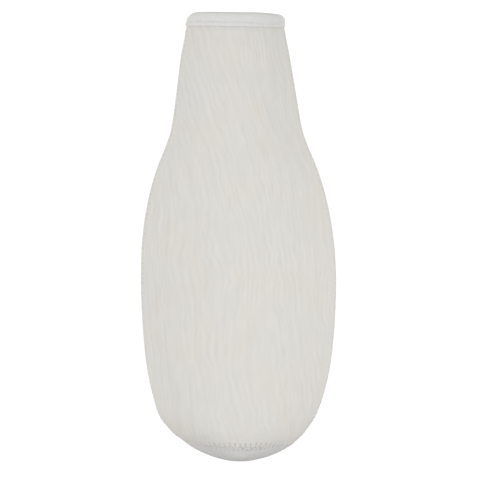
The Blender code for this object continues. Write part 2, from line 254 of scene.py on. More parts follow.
def turn_at(q, z):
    q, z = np.broadcast_arrays(np.asarray(q, float), np.asarray(z, float))
    col = np.clip(np.abs(q), 0, 1) * (len(SHARE_TABLE) - 1)
    row = np.clip(z, 0, HEIGHT) / HEIGHT * (len(LEVEL_TABLE) - 1)
    c, r = np.minimum(col.astype(int), len(SHARE_TABLE) - 2), np.minimum(row.astype(int), len(LEVEL_TABLE) - 2)
    fc, fr = col - c, row - r
    low = TURN_TABLE[r, c] * (1 - fc) + TURN_TABLE[r, c + 1] * fc
    high = TURN_TABLE[r + 1, c] * (1 - fc) + TURN_TABLE[r + 1, c + 1] * fc
    return np.sign(q) * (low * (1 - fr) + high * fr)


def on_cloth(q, z, side):
    t = np.sin(turn_at(q, z))
    z = np.broadcast_to(np.asarray(z, float), t.shape)
    return np.stack([half_width(z) * t, side * (half_depth(z) * bulge(t, z) + TOUCH), z], -1)


def unit(v):
    return v / np.maximum(np.linalg.norm(v, axis=-1, keepdims=True), 1e-12)


def cloth_normal(q, z, side):
    q, z = np.broadcast_arrays(np.asarray(q, float), np.asarray(z, float))
    along = on_cloth(np.minimum(q + 0.004, 1), z, side) - on_cloth(np.maximum(q - 0.004, -1), z, side)
    up = on_cloth(q, z + 0.08, side) - on_cloth(q, np.maximum(z - 0.08, 0), side)
    return unit(np.cross(along, up)) * (-side)


def lifted(q, z, side, out):
    """Points raised off the plain cloth. At the side edges they move sideways only, so that front and back still meet."""
    normal = cloth_normal(q, z, side)
    normal[..., 1] *= eased((1 - np.abs(q)) * half_girth(z), 0.0, 0.6)
    return on_cloth(q, z, side) + normal * out[..., None]


def settled(points):
    """The stance of the real, soft sleeve: its middle line strays from upright, but its zipper stays straight."""
    points = np.array(points, float)
    x, y, z = points[..., 0], points[..., 1], points[..., 2]
    beside = eased(np.abs(x) / half_width(z), 0.24, 0.95)
    share = 1 - (1 - beside) * eased(y, -8, 8)
    points[..., 0] = x + askew(z) * share
    return points


# ---- patterns in the cloth ----


def noise(x, y, seed):
    """Smooth hills and hollows from -1 to 1, about one to a unit, the same on each run."""
    x, y = np.broadcast_arrays(np.asarray(x, float), np.asarray(y, float))
    table = np.random.RandomState(seed).uniform(-1, 1, (64, 64))
    xi, yi = np.floor(x).astype(int), np.floor(y).astype(int)
    fx, fy = x - xi, y - yi
    fx, fy = fx * fx * (3 - 2 * fx), fy * fy * (3 - 2 * fy)
    a, b = table[xi % 64, yi % 64], table[(xi + 1) % 64, yi % 64]
    c, d = table[xi % 64, (yi + 1) % 64], table[(xi + 1) % 64, (yi + 1) % 64]
    return (a * (1 - fx) + b * fx) * (1 - fy) + (c * (1 - fx) + d * fx) * fy


def grain(u, v):
    """The wavy lines of the stretched knit, from -1 to 1: nearly upright, and leaning to the left as they rise, most of all
    in the neck, where v is high."""
    s = np.clip((v - 95) / 50, 0, 1)
    drawn = 50 * (s**3 - s**4 / 2) + np.maximum(v - 145, 0)
    slant = u + 0.12 * v + 0.19 * drawn * (1 - 0.3 * eased(u, -6, 24))
    slant = slant + 4.0 * noise(u / 33, v / 42, 1) + 1.9 * noise(u / 13, v / 17, 2) + 0.75 * noise(u / 4.4, v / 4.2, 7)
    broad = np.cos(2 * math.pi * slant / 3.0)
    fine = np.cos(2 * math.pi * (slant / 2.25 + 0.9 * noise(u / 19 + 9, v / 30, 3)))
    wide = np.cos(2 * math.pi * (slant / 5.3 + 0.8 * noise(u / 17 + 5, v / 26, 9)))
    share = eased(noise(u / 9, v / 15, 4), -0.45, 0.45)
    fade = 0.25 + 0.8 * eased(noise(u / 4.2, v / 6.2, 5), -0.65, 0.35)
    lines = (broad * share + fine * (1 - share)) * fade * (0.85 + 0.3 * noise(u / 1.8, v / 2.9, 8))
    return lines + 0.5 * wide * (0.4 + 0.6 * eased(noise(u / 8, v / 11, 10), -0.6, 0.4)) + 0.5 * noise(u / 2.6, v / 5.5, 12)


def rounded(e, radius, depth):
    """How far a soft edge has turned in, at a distance e from it."""
    s = np.clip(1 - np.asarray(e, float) / radius, 0, 1)
    return depth * (1 - np.sqrt(np.clip(1 - s * s, 0, 1)))


def pits(du, dv, radius=0.38):
    return np.exp(-(du * du + dv * dv) / radius**2)


def from_nearest(x, pitch, shift=0.0):
    s = np.asarray(x, float) / pitch - shift
    return (s - np.round(s)) * pitch


# ---- meshes ----


def patchwork(across, up, split, wrap=False):
    """Cells between the lines across and up, each split 1, 2 or 4 times each way. Cells of unlike size still share their corners.
    Returns the place of each corner between the lines, the cells as corner numbers, and the table of corner numbers."""
    nu, nv, fine = len(across) - 1, len(up) - 1, 4
    used = np.zeros((nu * fine + 1, nv * fine + 1), bool)
    for k in (1, 2, 4):
        cells = np.argwhere(split == k)
        for i in range(0, fine + 1, fine // k):
            for j in range(0, fine + 1, fine // k):
                used[cells[:, 0] * fine + i, cells[:, 1] * fine + j] = True
    if wrap:
        used[0] |= used[-1]
        used[-1] = False
    ids = np.full(used.shape, -1)
    ids[used] = np.arange(used.sum())
    places = np.argwhere(used)
    if wrap:
        ids[-1] = ids[0]
    s = np.interp(places[:, 0] / fine, np.arange(nu + 1), across)
    r = np.interp(places[:, 1] / fine, np.arange(nv + 1), up)
    table = ids.tolist()
    faces = []
    for i in range(nu):
        for j in range(nv):
            step = fine // int(split[i, j])
            for x0 in range(i * fine, (i + 1) * fine, step):
                for y0 in range(j * fine, (j + 1) * fine, step):
                    x1, y1 = x0 + step, y0 + step
                    ring = [table[x][y0] for x in range(x0, x1)]
                    ring += [table[x1][y] for y in range(y0, y1)]
                    ring += [table[x][y1] for x in range(x1, x0, -1)]
                    ring += [table[x0][y] for y in range(y1, y0, -1)]
                    faces.append([c for c in ring if c >= 0])
    return s, r, faces, table


def make(name, points, faces, look, cloth=None, corner_cloth=None, marks=None, smooth=True):
    """A mesh object from points in millimetres. cloth is each point's place on the cut cloth, and corner_cloth the same for each corner of each face."""
    mesh = bpy.data.meshes.new(name)
    mesh.from_pydata(np.asarray(points, float) * MM, [], faces)
    mesh.update()
    if cloth is not None or corner_cloth is not None:
        layer = mesh.uv_layers.new(name="Cloth")
        if corner_cloth is None:
            corners = np.empty(len(mesh.loops), np.int32)
            mesh.loops.foreach_get("vertex_index", corners)
            corner_cloth = np.asarray(cloth, float)[corners]
        layer.uv.foreach_set("vector", (np.asarray(corner_cloth, float) / 10).astype(np.float32).ravel())
    for mark, values in (marks or {}).items():
        made = mesh.attributes.new(mark, "FLOAT", "POINT")
        made.data.foreach_set("value", np.asarray(values, np.float32))
    bm = bmesh.new()
    bm.from_mesh(mesh)
    bmesh.ops.recalc_face_normals(bm, faces=bm.faces)
    bm.to_mesh(mesh)
    bm.free()
    if smooth:
        mesh.shade_smooth()
    mesh.materials.append(look)
    obj = bpy.data.objects.new(name, mesh)
    SCENE.collection.objects.link(obj)
    return obj


def shell(name, look, across, up, split, outer, inner, inner_across, inner_up, wrap=False):
    """A closed wall. outer and inner take the places between the lines and give (points, place on the cut cloth, marks)."""
    s, r, faces, table = patchwork(across, up, split, wrap)
    points, cloth, marks = outer(s, r)
    first = len(points)
    columns = list(inner_across)
    across_i, up_i = np.array(across)[columns], np.array(up)[list(inner_up)]
    grid_s, grid_r = np.meshgrid(across_i[:-1] if wrap else across_i, up_i, indexing="ij")
    more, more_cloth, more_marks = inner(grid_s.ravel(), grid_r.ravel())
    count_u, count_v = grid_s.shape

    def inside(i, j):
        return first + (i % count_u if wrap else i) * count_v + j

    cells = len(columns) - 1
    for i in range(cells):
        for j in range(count_v - 1):
            faces.append([inside(i, j), inside(i, j + 1), inside(i + 1, j + 1), inside(i + 1, j)])
    fine = 4
    for j_in, j_out in ((0, 0), (count_v - 1, (len(up) - 1) * fine)):
        for i in range(cells):
            edge = [table[x][j_out] for x in range(columns[i] * fine, columns[i + 1] * fine + 1)]
            edge = [c for c in edge if c >= 0]
            faces.append([inside(i, j_in), inside(i + 1, j_in)] + edge[::-1])
    if not wrap:
        rows = list(inner_up)
        for i_in, i_out in ((0, 0), (cells, (len(across) - 1) * fine)):
            for j in range(count_v - 1):
                edge = [table[i_out][y] for y in range(rows[j] * fine, rows[j + 1] * fine + 1)]
                edge = [c for c in edge if c >= 0]
                faces.append([inside(i_in, j), inside(i_in, j + 1)] + edge[::-1])
    return make(
        name, np.concatenate([points, more]), faces, look, cloth=np.concatenate([cloth, more_cloth]),
        marks={k: np.concatenate([marks[k], more_marks[k]]) for k in marks},
    )


def frames_along(path, closed=False):
    """Directions across a path that turn as little as they can."""
    path = np.asarray(path, float)
    if closed:
        ahead = np.roll(path, -1, 0) - np.roll(path, 1, 0)
    else:
        ahead = np.gradient(path, axis=0)
    ahead = unit(ahead)
    start = np.cross(ahead[0], [0, 0, 1.0])
    if np.linalg.norm(start) < 0.1:
        start = np.cross(ahead[0], [0, 1.0, 0])
    first = [unit(start)]
    for k in range(1, len(path)):
        last = first[-1] - ahead[k] * np.dot(first[-1], ahead[k])
        first.append(last / max(np.linalg.norm(last), 1e-9))
    first = np.array(first)
    return ahead, first, np.cross(ahead, first)


def tube(name, paths, radius, look, sides=6, widen=None):
    """Round threads along paths, in one object. radius is one number, or one for each point of each path."""
    points, faces, corners = [], [], []
    base = 0
    for number, path in enumerate(paths):
        path = np.asarray(path, float)
        _, across, over = frames_along(path)
        angle = np.arange(sides) / sides * 2 * math.pi
        r = np.broadcast_to(np.asarray(radius[number] if isinstance(radius, list) else radius, float), len(path))
        ring = path[:, None] + r[:, None, None] * (
            across[:, None] * np.cos(angle)[None, :, None] + over[:, None] * np.sin(angle)[None, :, None]
        )
        points.append(ring.reshape(-1, 3))
        run = np.concatenate([[0], np.cumsum(np.linalg.norm(np.diff(path, axis=0), axis=1))])
        for k in range(len(path) - 1):
            for i in range(sides):
                j = (i + 1) % sides
                a, b = base + k * sides, base + (k + 1) * sides
                faces.append([a + i, a + j, b + j, b + i])
                corners += [(i, run[k]), (i + 1, run[k]), (i + 1, run[k + 1]), (i, run[k + 1])]
        for k in (0, len(path) - 1):
            faces.append([base + k * sides + i for i in range(sides)])
            corners += [(i, run[k]) for i in range(sides)]
        base += len(path) * sides
    corners = np.array(corners, float)
    corners[:, 0] *= 10.0 / sides
    return make(name, np.concatenate(points), faces, look, corner_cloth=corners)


def smoothed(path, times, weight=None):
    """A path drawn smooth, more where weight is more. Its ends stay."""
    path = np.array(path, float)
    weight = np.ones(len(path)) if weight is None else np.asarray(weight, float)
    for _ in range(times):
        middle = (path[:-2] + path[2:]) / 2
        path[1:-1] += (middle - path[1:-1]) * 0.5 * weight[1:-1, None]
    return path


def beyond(plane):
    """A test of whether a place in metres lies on the side that a plane's normal points to."""
    normal, anchor = Vector(plane[0]).normalized(), Vector(plane[1]) * MM
    return lambda place: (place - anchor).dot(normal) > 0


def cut_up(obj, planes, parts):
    """Cuts a piece along planes, each a normal and a point, and keeps its shading.
    parts lists names and tests of a place, and each face goes to the first part whose test its middle passes."""
    whole = bmesh.new()
    whole.from_mesh(obj.data)
    for normal, anchor in planes:
        bmesh.ops.bisect_plane(
            whole, geom=whole.verts[:] + whole.edges[:] + whole.faces[:], dist=1e-7,
            plane_co=Vector(anchor) * MM, plane_no=Vector(normal).normalized(),
        )
    whole.normal_update()
    shade = whole.verts.layers.float_vector.new("rest_normal")
    for v in whole.verts:
        v[shade] = v.normal
    owner = whole.faces.layers.int.new("owner")
    for f in whole.faces:
        middle = f.calc_center_median()
        f[owner] = next(k for k, (_, test) in enumerate(parts) if test(middle))
    found = []
    for number, (name, _) in enumerate(parts):
        part = whole.copy()
        owner = part.faces.layers.int.get("owner")
        bmesh.ops.delete(part, geom=[f for f in part.faces if f[owner] != number], context="FACES")
        for f in bmesh.ops.holes_fill(part, edges=[e for e in part.edges if e.is_boundary], sides=0)["faces"]:
            f[owner] = -1
            # Neighbours that face the same way run opposite ways along their shared edge.
            here = f.loops[0]
            if here.link_loop_radial_next.vert == here.vert:
                f.normal_flip()
        part.normal_update()
        mesh = bpy.data.meshes.new(name)
        part.to_mesh(mesh)
        part.free()
        mesh.shade_smooth()
        shading = np.empty(len(mesh.vertices) * 3, np.float32)
        mesh.attributes["rest_normal"].data.foreach_get("vector", shading)
        owners = np.empty(len(mesh.polygons), np.int32)
        mesh.attributes["owner"].data.foreach_get("value", owners)
        corners = np.empty(len(mesh.loops), np.int32)
        mesh.loops.foreach_get("vertex_index", corners)
        wanted = shading.reshape(-1, 3)[corners]
        for face in np.flatnonzero(owners < 0):
            flat = mesh.polygons[int(face)]
            wanted[flat.loop_start : flat.loop_start + flat.loop_total] = flat.normal
        mesh.attributes.remove(mesh.attributes["rest_normal"])
        mesh.attributes.remove(mesh.attributes["owner"])
        mesh.normals_split_custom_set([tuple(n) for n in wanted])
        for look in obj.data.materials:
            mesh.materials.append(look)
        piece = bpy.data.objects.new(name, mesh)
        SCENE.collection.objects.link(piece)
        found.append(piece)
    whole.free()
    bpy.data.objects.remove(obj, do_unlink=True)
    return found


# ---- materials ----


def node(tree, kind, inputs=None, **settings):
    made = tree.nodes.new(kind)
    for key, value in settings.items():
        setattr(made, key, value)
    for key, value in (inputs or {}).items():
        if isinstance(value, bpy.types.NodeSocket):
            tree.links.new(value, made.inputs[key])
        else:
            made.inputs[key].default_value = value
    return made


def sums(tree, operation, *values, clamp=False):
    made = node(tree, "ShaderNodeMath", dict(enumerate(values)), operation=operation)
    made.use_clamp = clamp
    return made.outputs[0]


def tinted(tree, colour, factor):
    """A colour times a factor that varies over the surface."""
    return node(tree, "ShaderNodeVectorMath", {"Vector": colour, "Scale": factor}, operation="SCALE").outputs["Vector"]


def new_look(name):
    look = bpy.data.materials.new(name)
    look.use_nodes = True
    tree = look.node_tree
    shader = tree.nodes["Principled BSDF"]
    return look, tree, shader


def places(tree):
    """(u, v) on the cut cloth, in millimetres."""
    split = node(tree, "ShaderNodeSeparateXYZ", {0: node(tree, "ShaderNodeUVMap", uv_map="Cloth").outputs[0]})
    return sums(tree, "MULTIPLY", split.outputs[0], 10.0), sums(tree, "MULTIPLY", split.outputs[1], 10.0)


def flat_noise(tree, u, v, across, up, detail=2.0, rough=0.5, shift=0.0):
    """Noise with its features so many millimetres across and up, from 0 to 1."""
    at = node(
        tree, "ShaderNodeCombineXYZ",
        {0: sums(tree, "DIVIDE", u, across), 1: sums(tree, "DIVIDE", v, up), 2: shift},
    ).outputs[0]
    return node(
        tree, "ShaderNodeTexNoise", {"Vector": at, "Scale": 1.0, "Detail": detail, "Roughness": rough}
    ).outputs[0]


def knit_height(tree, u, v, wale, course):
    """The V stitches of a jersey knit, from 0 in the gaps to 1 on the loops."""
    column = sums(tree, "DIVIDE", u, wale)
    from_middle = sums(tree, "MULTIPLY", sums(tree, "ABSOLUTE", sums(tree, "SUBTRACT", sums(tree, "FRACT", column), 0.5)), 2.0)
    leg = sums(tree, "SINE", sums(tree, "MULTIPLY", sums(tree, "FRACT", sums(tree, "MULTIPLY", column, 2.0)), math.pi))
    row = sums(tree, "FRACT", sums(tree, "ADD", sums(tree, "DIVIDE", v, course), sums(tree, "MULTIPLY", from_middle, 0.6)))
    loop = sums(tree, "SINE", sums(tree, "MULTIPLY", row, math.pi))
    return sums(tree, "MULTIPLY", leg, sums(tree, "ADD", 0.45, sums(tree, "MULTIPLY", loop, 0.55)))


def mark(tree, name):
    return node(tree, "ShaderNodeAttribute", attribute_name=name, attribute_type="GEOMETRY").outputs["Fac"]


def knit_look(name, warm, cool, wale=0.56, course=0.44, lines=0.02, relief=0.035, roughness=0.9, sheen=0.12):
    look, tree, shader = new_look(name)
    u, v = places(tree)
    stitch = knit_height(tree, u, v, wale, course)
    fuzz = flat_noise(tree, u, v, 0.16, 0.3, detail=3.0, rough=0.65)
    cloud = flat_noise(tree, u, v, 14.0, 22.0, detail=3.0, shift=3.1)
    streak = flat_noise(tree, u, v, 1.1, 17.0, detail=2.0, shift=7.7)
    hue = node(
        tree, "ShaderNodeMapRange", {"Value": cloud, "From Min": 0.35, "From Max": 0.65, "To Min": 0.0, "To Max": 1.0}
    ).outputs[0]
    colour = node(
        tree, "ShaderNodeMix", {"Factor": hue, "A": (*warm, 1), "B": (*cool, 1)}, data_type="RGBA"
    )
    # Mix has several sockets of one name, so its colour inputs are set by place.
    for place, value in ((6, (*warm, 1)), (7, (*cool, 1))):
        colour.inputs[place].default_value = value
    factor = sums(tree, "ADD", 1.0, sums(tree, "MULTIPLY", mark(tree, "grain"), lines))
    factor = sums(tree, "ADD", factor, sums(tree, "MULTIPLY", sums(tree, "SUBTRACT", stitch, 0.5), 0.05))
    factor = sums(tree, "ADD", factor, sums(tree, "MULTIPLY", sums(tree, "SUBTRACT", fuzz, 0.5), 0.05))
    factor = sums(tree, "ADD", factor, sums(tree, "MULTIPLY", sums(tree, "SUBTRACT", streak, 0.5), 0.04))
    # Painted shade: the colour is darkened in needle holes, stitch channels and the crease under the binding.
    factor = sums(tree, "SUBTRACT", factor, sums(tree, "MULTIPLY", mark(tree, "pressed"), 0.13))
    tree.links.new(tinted(tree, colour.outputs[2], factor), shader.inputs["Base Color"])
    tree.links.new(
        sums(tree, "ADD", roughness - 0.05, sums(tree, "MULTIPLY", fuzz, 0.1), clamp=True), shader.inputs["Roughness"]
    )
    height = sums(tree, "ADD", sums(tree, "MULTIPLY", stitch, 0.75), sums(tree, "MULTIPLY", fuzz, 0.4))
    bump = node(tree, "ShaderNodeBump", {"Strength": 0.7, "Distance": relief * MM, "Height": height})
    tree.links.new(bump.outputs[0], shader.inputs["Normal"])
    shader.inputs["Specular IOR Level"].default_value = 0.22
    shader.inputs["Sheen Weight"].default_value = sheen
    shader.inputs["Sheen Roughness"].default_value = 0.55
    return look


def tape_look(name, colour):
    """Woven tape: fine ribs across, and a twill line along."""
    look, tree, shader = new_look(name)
    u, v = places(tree)
    weft = sums(tree, "SINE", sums(tree, "MULTIPLY", v, 2 * math.pi / 0.42))
    slant = sums(tree, "ADD", sums(tree, "DIVIDE", u, 0.36), sums(tree, "DIVIDE", v, 0.84))
    warp = sums(tree, "SINE", sums(tree, "MULTIPLY", slant, 2 * math.pi))
    weave = sums(tree, "ADD", 0.5, sums(tree, "MULTIPLY", sums(tree, "MULTIPLY", weft, warp), 0.5))
    fuzz = flat_noise(tree, u, v, 0.2, 0.5, detail=3.0)
    cloud = flat_noise(tree, u, v, 9.0, 30.0, shift=1.3)
    factor = sums(tree, "ADD", 0.95, sums(tree, "MULTIPLY", weave, 0.07))
    factor = sums(tree, "ADD", factor, sums(tree, "MULTIPLY", sums(tree, "SUBTRACT", cloud, 0.5), 0.08))
    factor = sums(tree, "ADD", factor, sums(tree, "MULTIPLY", sums(tree, "SUBTRACT", fuzz, 0.5), 0.05))
    tree.links.new(tinted(tree, colour, factor), shader.inputs["Base Color"])
    tree.links.new(sums(tree, "ADD", 0.72, sums(tree, "MULTIPLY", fuzz, 0.16)), shader.inputs["Roughness"])
    bump = node(tree, "ShaderNodeBump", {"Strength": 0.8, "Distance": 0.05 * MM, "Height": sums(tree, "ADD", weave, fuzz)})
    tree.links.new(bump.outputs[0], shader.inputs["Normal"])
    shader.inputs["Specular IOR Level"].default_value = 0.3
    shader.inputs["Sheen Weight"].default_value = 0.1
    return look


def thread_look(name, colour):
    """Twisted thread: its plies run slantwise round it."""
    look, tree, shader = new_look(name)
    u, v = places(tree)
    turn = sums(tree, "ADD", sums(tree, "MULTIPLY", u, 2 * math.pi / 10 * 3), sums(tree, "MULTIPLY", v, 2 * math.pi / 0.9))
    ply = sums(tree, "ADD", 0.5, sums(tree, "MULTIPLY", sums(tree, "SINE", turn), 0.5))
    fuzz = flat_noise(tree, u, v, 2.0, 0.3, detail=2.0)
    factor = sums(tree, "ADD", 0.88, sums(tree, "MULTIPLY", ply, 0.14))
    factor = sums(tree, "ADD", factor, sums(tree, "MULTIPLY", sums(tree, "SUBTRACT", fuzz, 0.5), 0.08))
    tree.links.new(tinted(tree, colour, factor), shader.inputs["Base Color"])
    tree.links.new(sums(tree, "ADD", 0.5, sums(tree, "MULTIPLY", fuzz, 0.25)), shader.inputs["Roughness"])
    bump = node(tree, "ShaderNodeBump", {"Strength": 0.9, "Distance": 0.05 * MM, "Height": sums(tree, "ADD", ply, fuzz)})
    tree.links.new(bump.outputs[0], shader.inputs["Normal"])
    shader.inputs["Sheen Weight"].default_value = 0.15
    return look


def nylon_look(name, colour):
    look, tree, shader = new_look(name)
    at = node(tree, "ShaderNodeTexCoord").outputs["Object"]
    cloud = node(tree, "ShaderNodeTexNoise", {"Vector": at, "Scale": 420.0, "Detail": 3.0}).outputs[0]
    fine = node(tree, "ShaderNodeTexNoise", {"Vector": at, "Scale": 3800.0, "Detail": 2.0}).outputs[0]
    factor = sums(tree, "ADD", 0.95, sums(tree, "MULTIPLY", cloud, 0.1))
    tree.links.new(tinted(tree, colour, factor), shader.inputs["Base Color"])
    tree.links.new(sums(tree, "ADD", 0.28, sums(tree, "MULTIPLY", cloud, 0.2)), shader.inputs["Roughness"])
    bump = node(tree, "ShaderNodeBump", {"Strength": 0.25, "Distance": 0.02 * MM, "Height": fine})
    tree.links.new(bump.outputs[0], shader.inputs["Normal"])
    return look


def nickel_look(name, colour):
    """Tumbled and plated zinc: satin, with fine rubbed scratches, brighter where edges are worn."""
    look, tree, shader = new_look(name)
    at = node(tree, "ShaderNodeTexCoord").outputs["Object"]
    cloud = node(tree, "ShaderNodeTexNoise", {"Vector": at, "Scale": 260.0, "Detail": 4.0, "Roughness": 0.6}).outputs[0]
    stretch = node(tree, "ShaderNodeMapping", {"Vector": at, "Scale": (5200.0, 900.0, 700.0)}).outputs[0]
    rubbed = node(tree, "ShaderNodeTexNoise", {"Vector": stretch, "Scale": 1.0, "Detail": 3.0, "Roughness": 0.7}).outputs[0]
    edges = node(tree, "ShaderNodeNewGeometry").outputs["Pointiness"]
    worn = node(
        tree, "ShaderNodeMapRange", {"Value": edges, "From Min": 0.5, "From Max": 0.62, "To Min": 0.0, "To Max": 0.12}
    ).outputs[0]
    factor = sums(tree, "ADD", 0.84, sums(tree, "MULTIPLY", cloud, 0.16))
    factor = sums(tree, "ADD", factor, worn)
    factor = sums(tree, "ADD", factor, sums(tree, "MULTIPLY", rubbed, 0.08))
    tree.links.new(tinted(tree, colour, factor), shader.inputs["Base Color"])
    rough = sums(tree, "ADD", 0.2, sums(tree, "MULTIPLY", cloud, 0.14))
    rough = sums(tree, "ADD", rough, sums(tree, "MULTIPLY", rubbed, 0.12))
    tree.links.new(rough, shader.inputs["Roughness"])
    bump = node(tree, "ShaderNodeBump", {"Strength": 0.3, "Distance": 0.015 * MM, "Height": sums(tree, "ADD", rubbed, cloud)})
    tree.links.new(bump.outputs[0], shader.inputs["Normal"])
    shader.inputs["Metallic"].default_value = 1.0
    return look


LOOKS = {
    "panel": knit_look("panel knit", (0.762, 0.736, 0.690), (0.750, 0.741, 0.706), lines=0.026),
    "base": knit_look("base knit", (0.755, 0.744, 0.728), (0.749, 0.744, 0.732), lines=0.012),
    "binding": knit_look("binding knit", (0.775, 0.768, 0.745), (0.768, 0.768, 0.753), wale=0.44, course=0.38, lines=0.012, relief=0.04),
    "tape": tape_look("zipper tape", (0.77, 0.75, 0.715)),
    "thread": thread_look("seam thread", (0.85, 0.835, 0.8)),
    "coil": nylon_look("coil nylon", (0.8, 0.785, 0.75)),
    "nickel": nickel_look("zipper nickel", (0.80, 0.785, 0.76)),
}


# ---- front panel ----


def ring_phase(t):
    """How many zigzags of the base seam lie between the middle and t."""
    return np.arcsin(np.clip(t, -1, 1)) / (2 * math.pi) * BASE_STITCHES


def base_row(t, z, shift):
    """The distance round the base from the nearest needle hole."""
    phase = ring_phase(t) - shift
    turn = (phase - np.round(phase)) * 2 * math.pi / BASE_STITCHES
    radius = np.hypot(half_width(z) * np.sqrt(np.clip(1 - t * t, 0, 1)), half_depth(z) * t)
    return turn * radius


def seam_up(q, z):
    """The height of the base seam under a point, and how far up the cloth the point lies from it."""
    t = np.sin(turn_at(q, 8.0))
    low = seam_height(t) + TOUCH
    lean = tilt(t, (z + low) / 2)
    return low, (z - low) / np.cos(lean)


def body_relief(q, z, side):
    """How far the cloth stands out from its plain shape or sinks in, and the shade painted into its needle holes and
    under the binding: shared by front and back.
    """
    t = np.sin(turn_at(q, z))
    girth = half_girth(z)
    u, edge = q * girth, (1 - np.abs(q)) * girth
    _, up = seam_up(q, z)
    calm = eased(edge, 0.4, 4.0) * eased(up, 0.6, 4.0)
    lines = grain(u + (0 if side < 0 else 140.0), z) * calm
    out = 0.062 * lines
    out += 0.26 * noise(u / 27 + (0 if side < 0 else 31), z / 36, 11) * eased(edge, 2, 14) * eased(up, 2, 16) * (1 - eased(z, 176, 192))
    out -= rounded(edge, 0.6, 0.22)
    out -= rounded(up, 0.09, 0.008)
    # Between needle holes the cloth puffs up a little.
    turn = ring_phase(t) * 2 * math.pi
    out -= 0.02 * np.cos(turn) * np.exp(-((up - BASE_ZIGZAG) ** 2) / 1.5) * (up > 0)
    shift = 0.0 if side < 0 else 0.5
    out -= 0.03 * np.cos(2 * math.pi * (z / SIDE_PITCH - shift)) * np.exp(-((edge - ZIGZAG) ** 2) / 1.3) * eased(z, 9, 12)
    holes = 0.6 * pits(edge - ZIGZAG, from_nearest(z, SIDE_PITCH, shift)) * eased(z, 10, 11) * (1 - eased(z, 192, 193))
    holes = np.maximum(holes, 1.5 * pits(up - BASE_ZIGZAG, base_row(t, z, 0.0), 0.37) * eased(edge, 0.5, 1.2))
    valley = 0.04 * np.exp(-((edge - 0.9) ** 2) / 0.8)
    out -= 0.2 * holes + valley
    # The binding presses the cloth in, and grips it.
    level = z + 0.0155 * (np.sin(turn_at(q, z)) * half_width(z))
    out -= 0.2 * eased(level, 191.4, 193.2) + 0.7 * eased(level, 193.45, 194.2)
    # Painted shade: darker colour in the needle holes and in the crease under the binding's lower edge.
    pressed = np.clip(holes + 0.35 * eased(level, 192.7, 193.5), 0, 1)
    return out, lines, pressed, u


def panel_top(q):
    """The panels' upper edge, which drops towards the side edges as the rim over it does."""
    return PANEL_TOP - 2.0 * eased(np.abs(np.sin(turn_at(q, PANEL_TOP))), 0.72, 0.98)


def front_places(s, r):
    q = s
    t = np.sin(turn_at(q, 8.0))
    low = seam_height(t) + TOUCH
    return q, low + (panel_top(q) - low) * r


def front_outer(s, r):
    q, z = front_places(s, r)
    out, lines, pressed, u = body_relief(q, z, -1)
    return settled(lifted(q, z, -1, out)), np.stack([u, z], -1), {"grain": lines, "pressed": pressed}


def front_inner(s, r):
    q, z = front_places(s, r)
    u = q * half_girth(z)
    points = skin(np.sin(turn_at(q, z)), z, WALL, -1)
    return settled(points), np.stack([u + 60, z], -1), {"grain": grain(u + 60, z), "pressed": np.zeros(len(z))}


def fineness(across, up, needs):
    """How often each cell is split, from what is needed at its middle."""
    s, r = (np.array(across[:-1]) + across[1:]) / 2, (np.array(up[:-1]) + up[1:]) / 2
    grid_s, grid_r = np.meshgrid(s, r, indexing="ij")
    return needs(grid_s, grid_r)


def front_needs(s, r):
    q, z = front_places(s.ravel(), r.ravel())
    edge = (1 - np.abs(q)) * half_girth(z)
    _, up = seam_up(q, z)
    level = np.ones(len(q), int)
    level[(edge < 3.2) | (up < 3.6) | (z > 191.0)] = 2
    level[(edge < 2.3) | (up < 2.5)] = 4
    level[(z > 194.2)] = 1
    return level.reshape(s.shape)


def every(count, step, keep=()):
    return sorted(set(range(0, count, step)) | {0, count - 1} | {k for k in keep if k < count})


def make_front():
    across, up = np.linspace(-1, 1, 189), np.linspace(0, 1, 185)
    split = fineness(across, up, front_needs)
    obj = shell(
        "front_panel_knit", LOOKS["panel"], across, up, split, front_outer, front_inner,
        every(189, 3), every(185, 3),
    )
    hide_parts("front_panel")
    return obj


# ---- back halves ----


def back_places(s, r, hand):
    """s runs from the zipper to the side edge."""
    start = slot_edge(np.full_like(s, 100.0)) / half_girth(100.0)
    t = np.sin(turn_at(start + (1 - start) * s, 8.0))
    low = seam_height(t) + TOUCH
    z = low + (panel_top(start + (1 - start) * s) - low) * r
    first = slot_edge(z) / half_girth(z)
    return first + (1 - first) * s, z


def slot_turn(q, z):
    """The distance from the cut beside the zipper, and how round that edge is turned."""
    e = np.abs(q) * half_girth(z) - slot_edge(z)
    full = eased(z, 16.5, 21)
    return e, 0.3 + 1.05 * full, 0.06 + 1.24 * full


def back_outer(hand):
    def outer(s, r):
        q, z = back_places(s, r, hand)
        out, lines, pressed, u = body_relief(q, z, 1)
        e, radius, depth = slot_turn(q, z)
        near = eased(e, 0.3, 3.0)
        lines = lines * near
        # The row of stitches beside the zipper lies in a channel.
        on = eased(z, 20.5, 23)
        row = u - TOP_ROW
        channel = np.exp(-(row**2) / 0.55) * on
        hole = pits(row, from_nearest(z, TOP_PITCH)) * on
        out = out - 0.17 * channel - 0.28 * hole - 0.05 * np.cos(2 * math.pi * z / TOP_PITCH) * np.exp(-(row**2) / 2.5) * on
        out += 0.12 * np.exp(-((u - 5.1) ** 2) / 0.8) * on
        # Under the zipper the halves are sewn edge to edge.
        low = 1 - eased(z, 15.6, 16.4)
        stitch = pits(u - ZIGZAG, from_nearest(z, SIDE_PITCH, 0.0 if hand < 0 else 0.5)) * low * eased(z, 9.0, 9.8)
        out -= 0.42 * stitch
        out -= s_round(e, radius, depth)
        # Painted shade: darker colour in the needle holes and in the stitch channel beside the zipper.
        pressed = np.clip(np.maximum(pressed, np.maximum(hole, stitch)) + 0.35 * channel, 0, 1)
        points = lifted(q, z, 1, out)
        points[:, 0] *= hand
        return settled(points), np.stack([hand * u + 140.0, z], -1), {"grain": lines, "pressed": pressed}

    return outer


def s_round(e, radius, depth):
    s = np.clip(1 - e / radius, 0, 1)
    return depth * (1 - np.sqrt(np.clip(1 - s * s, 0, 1)))


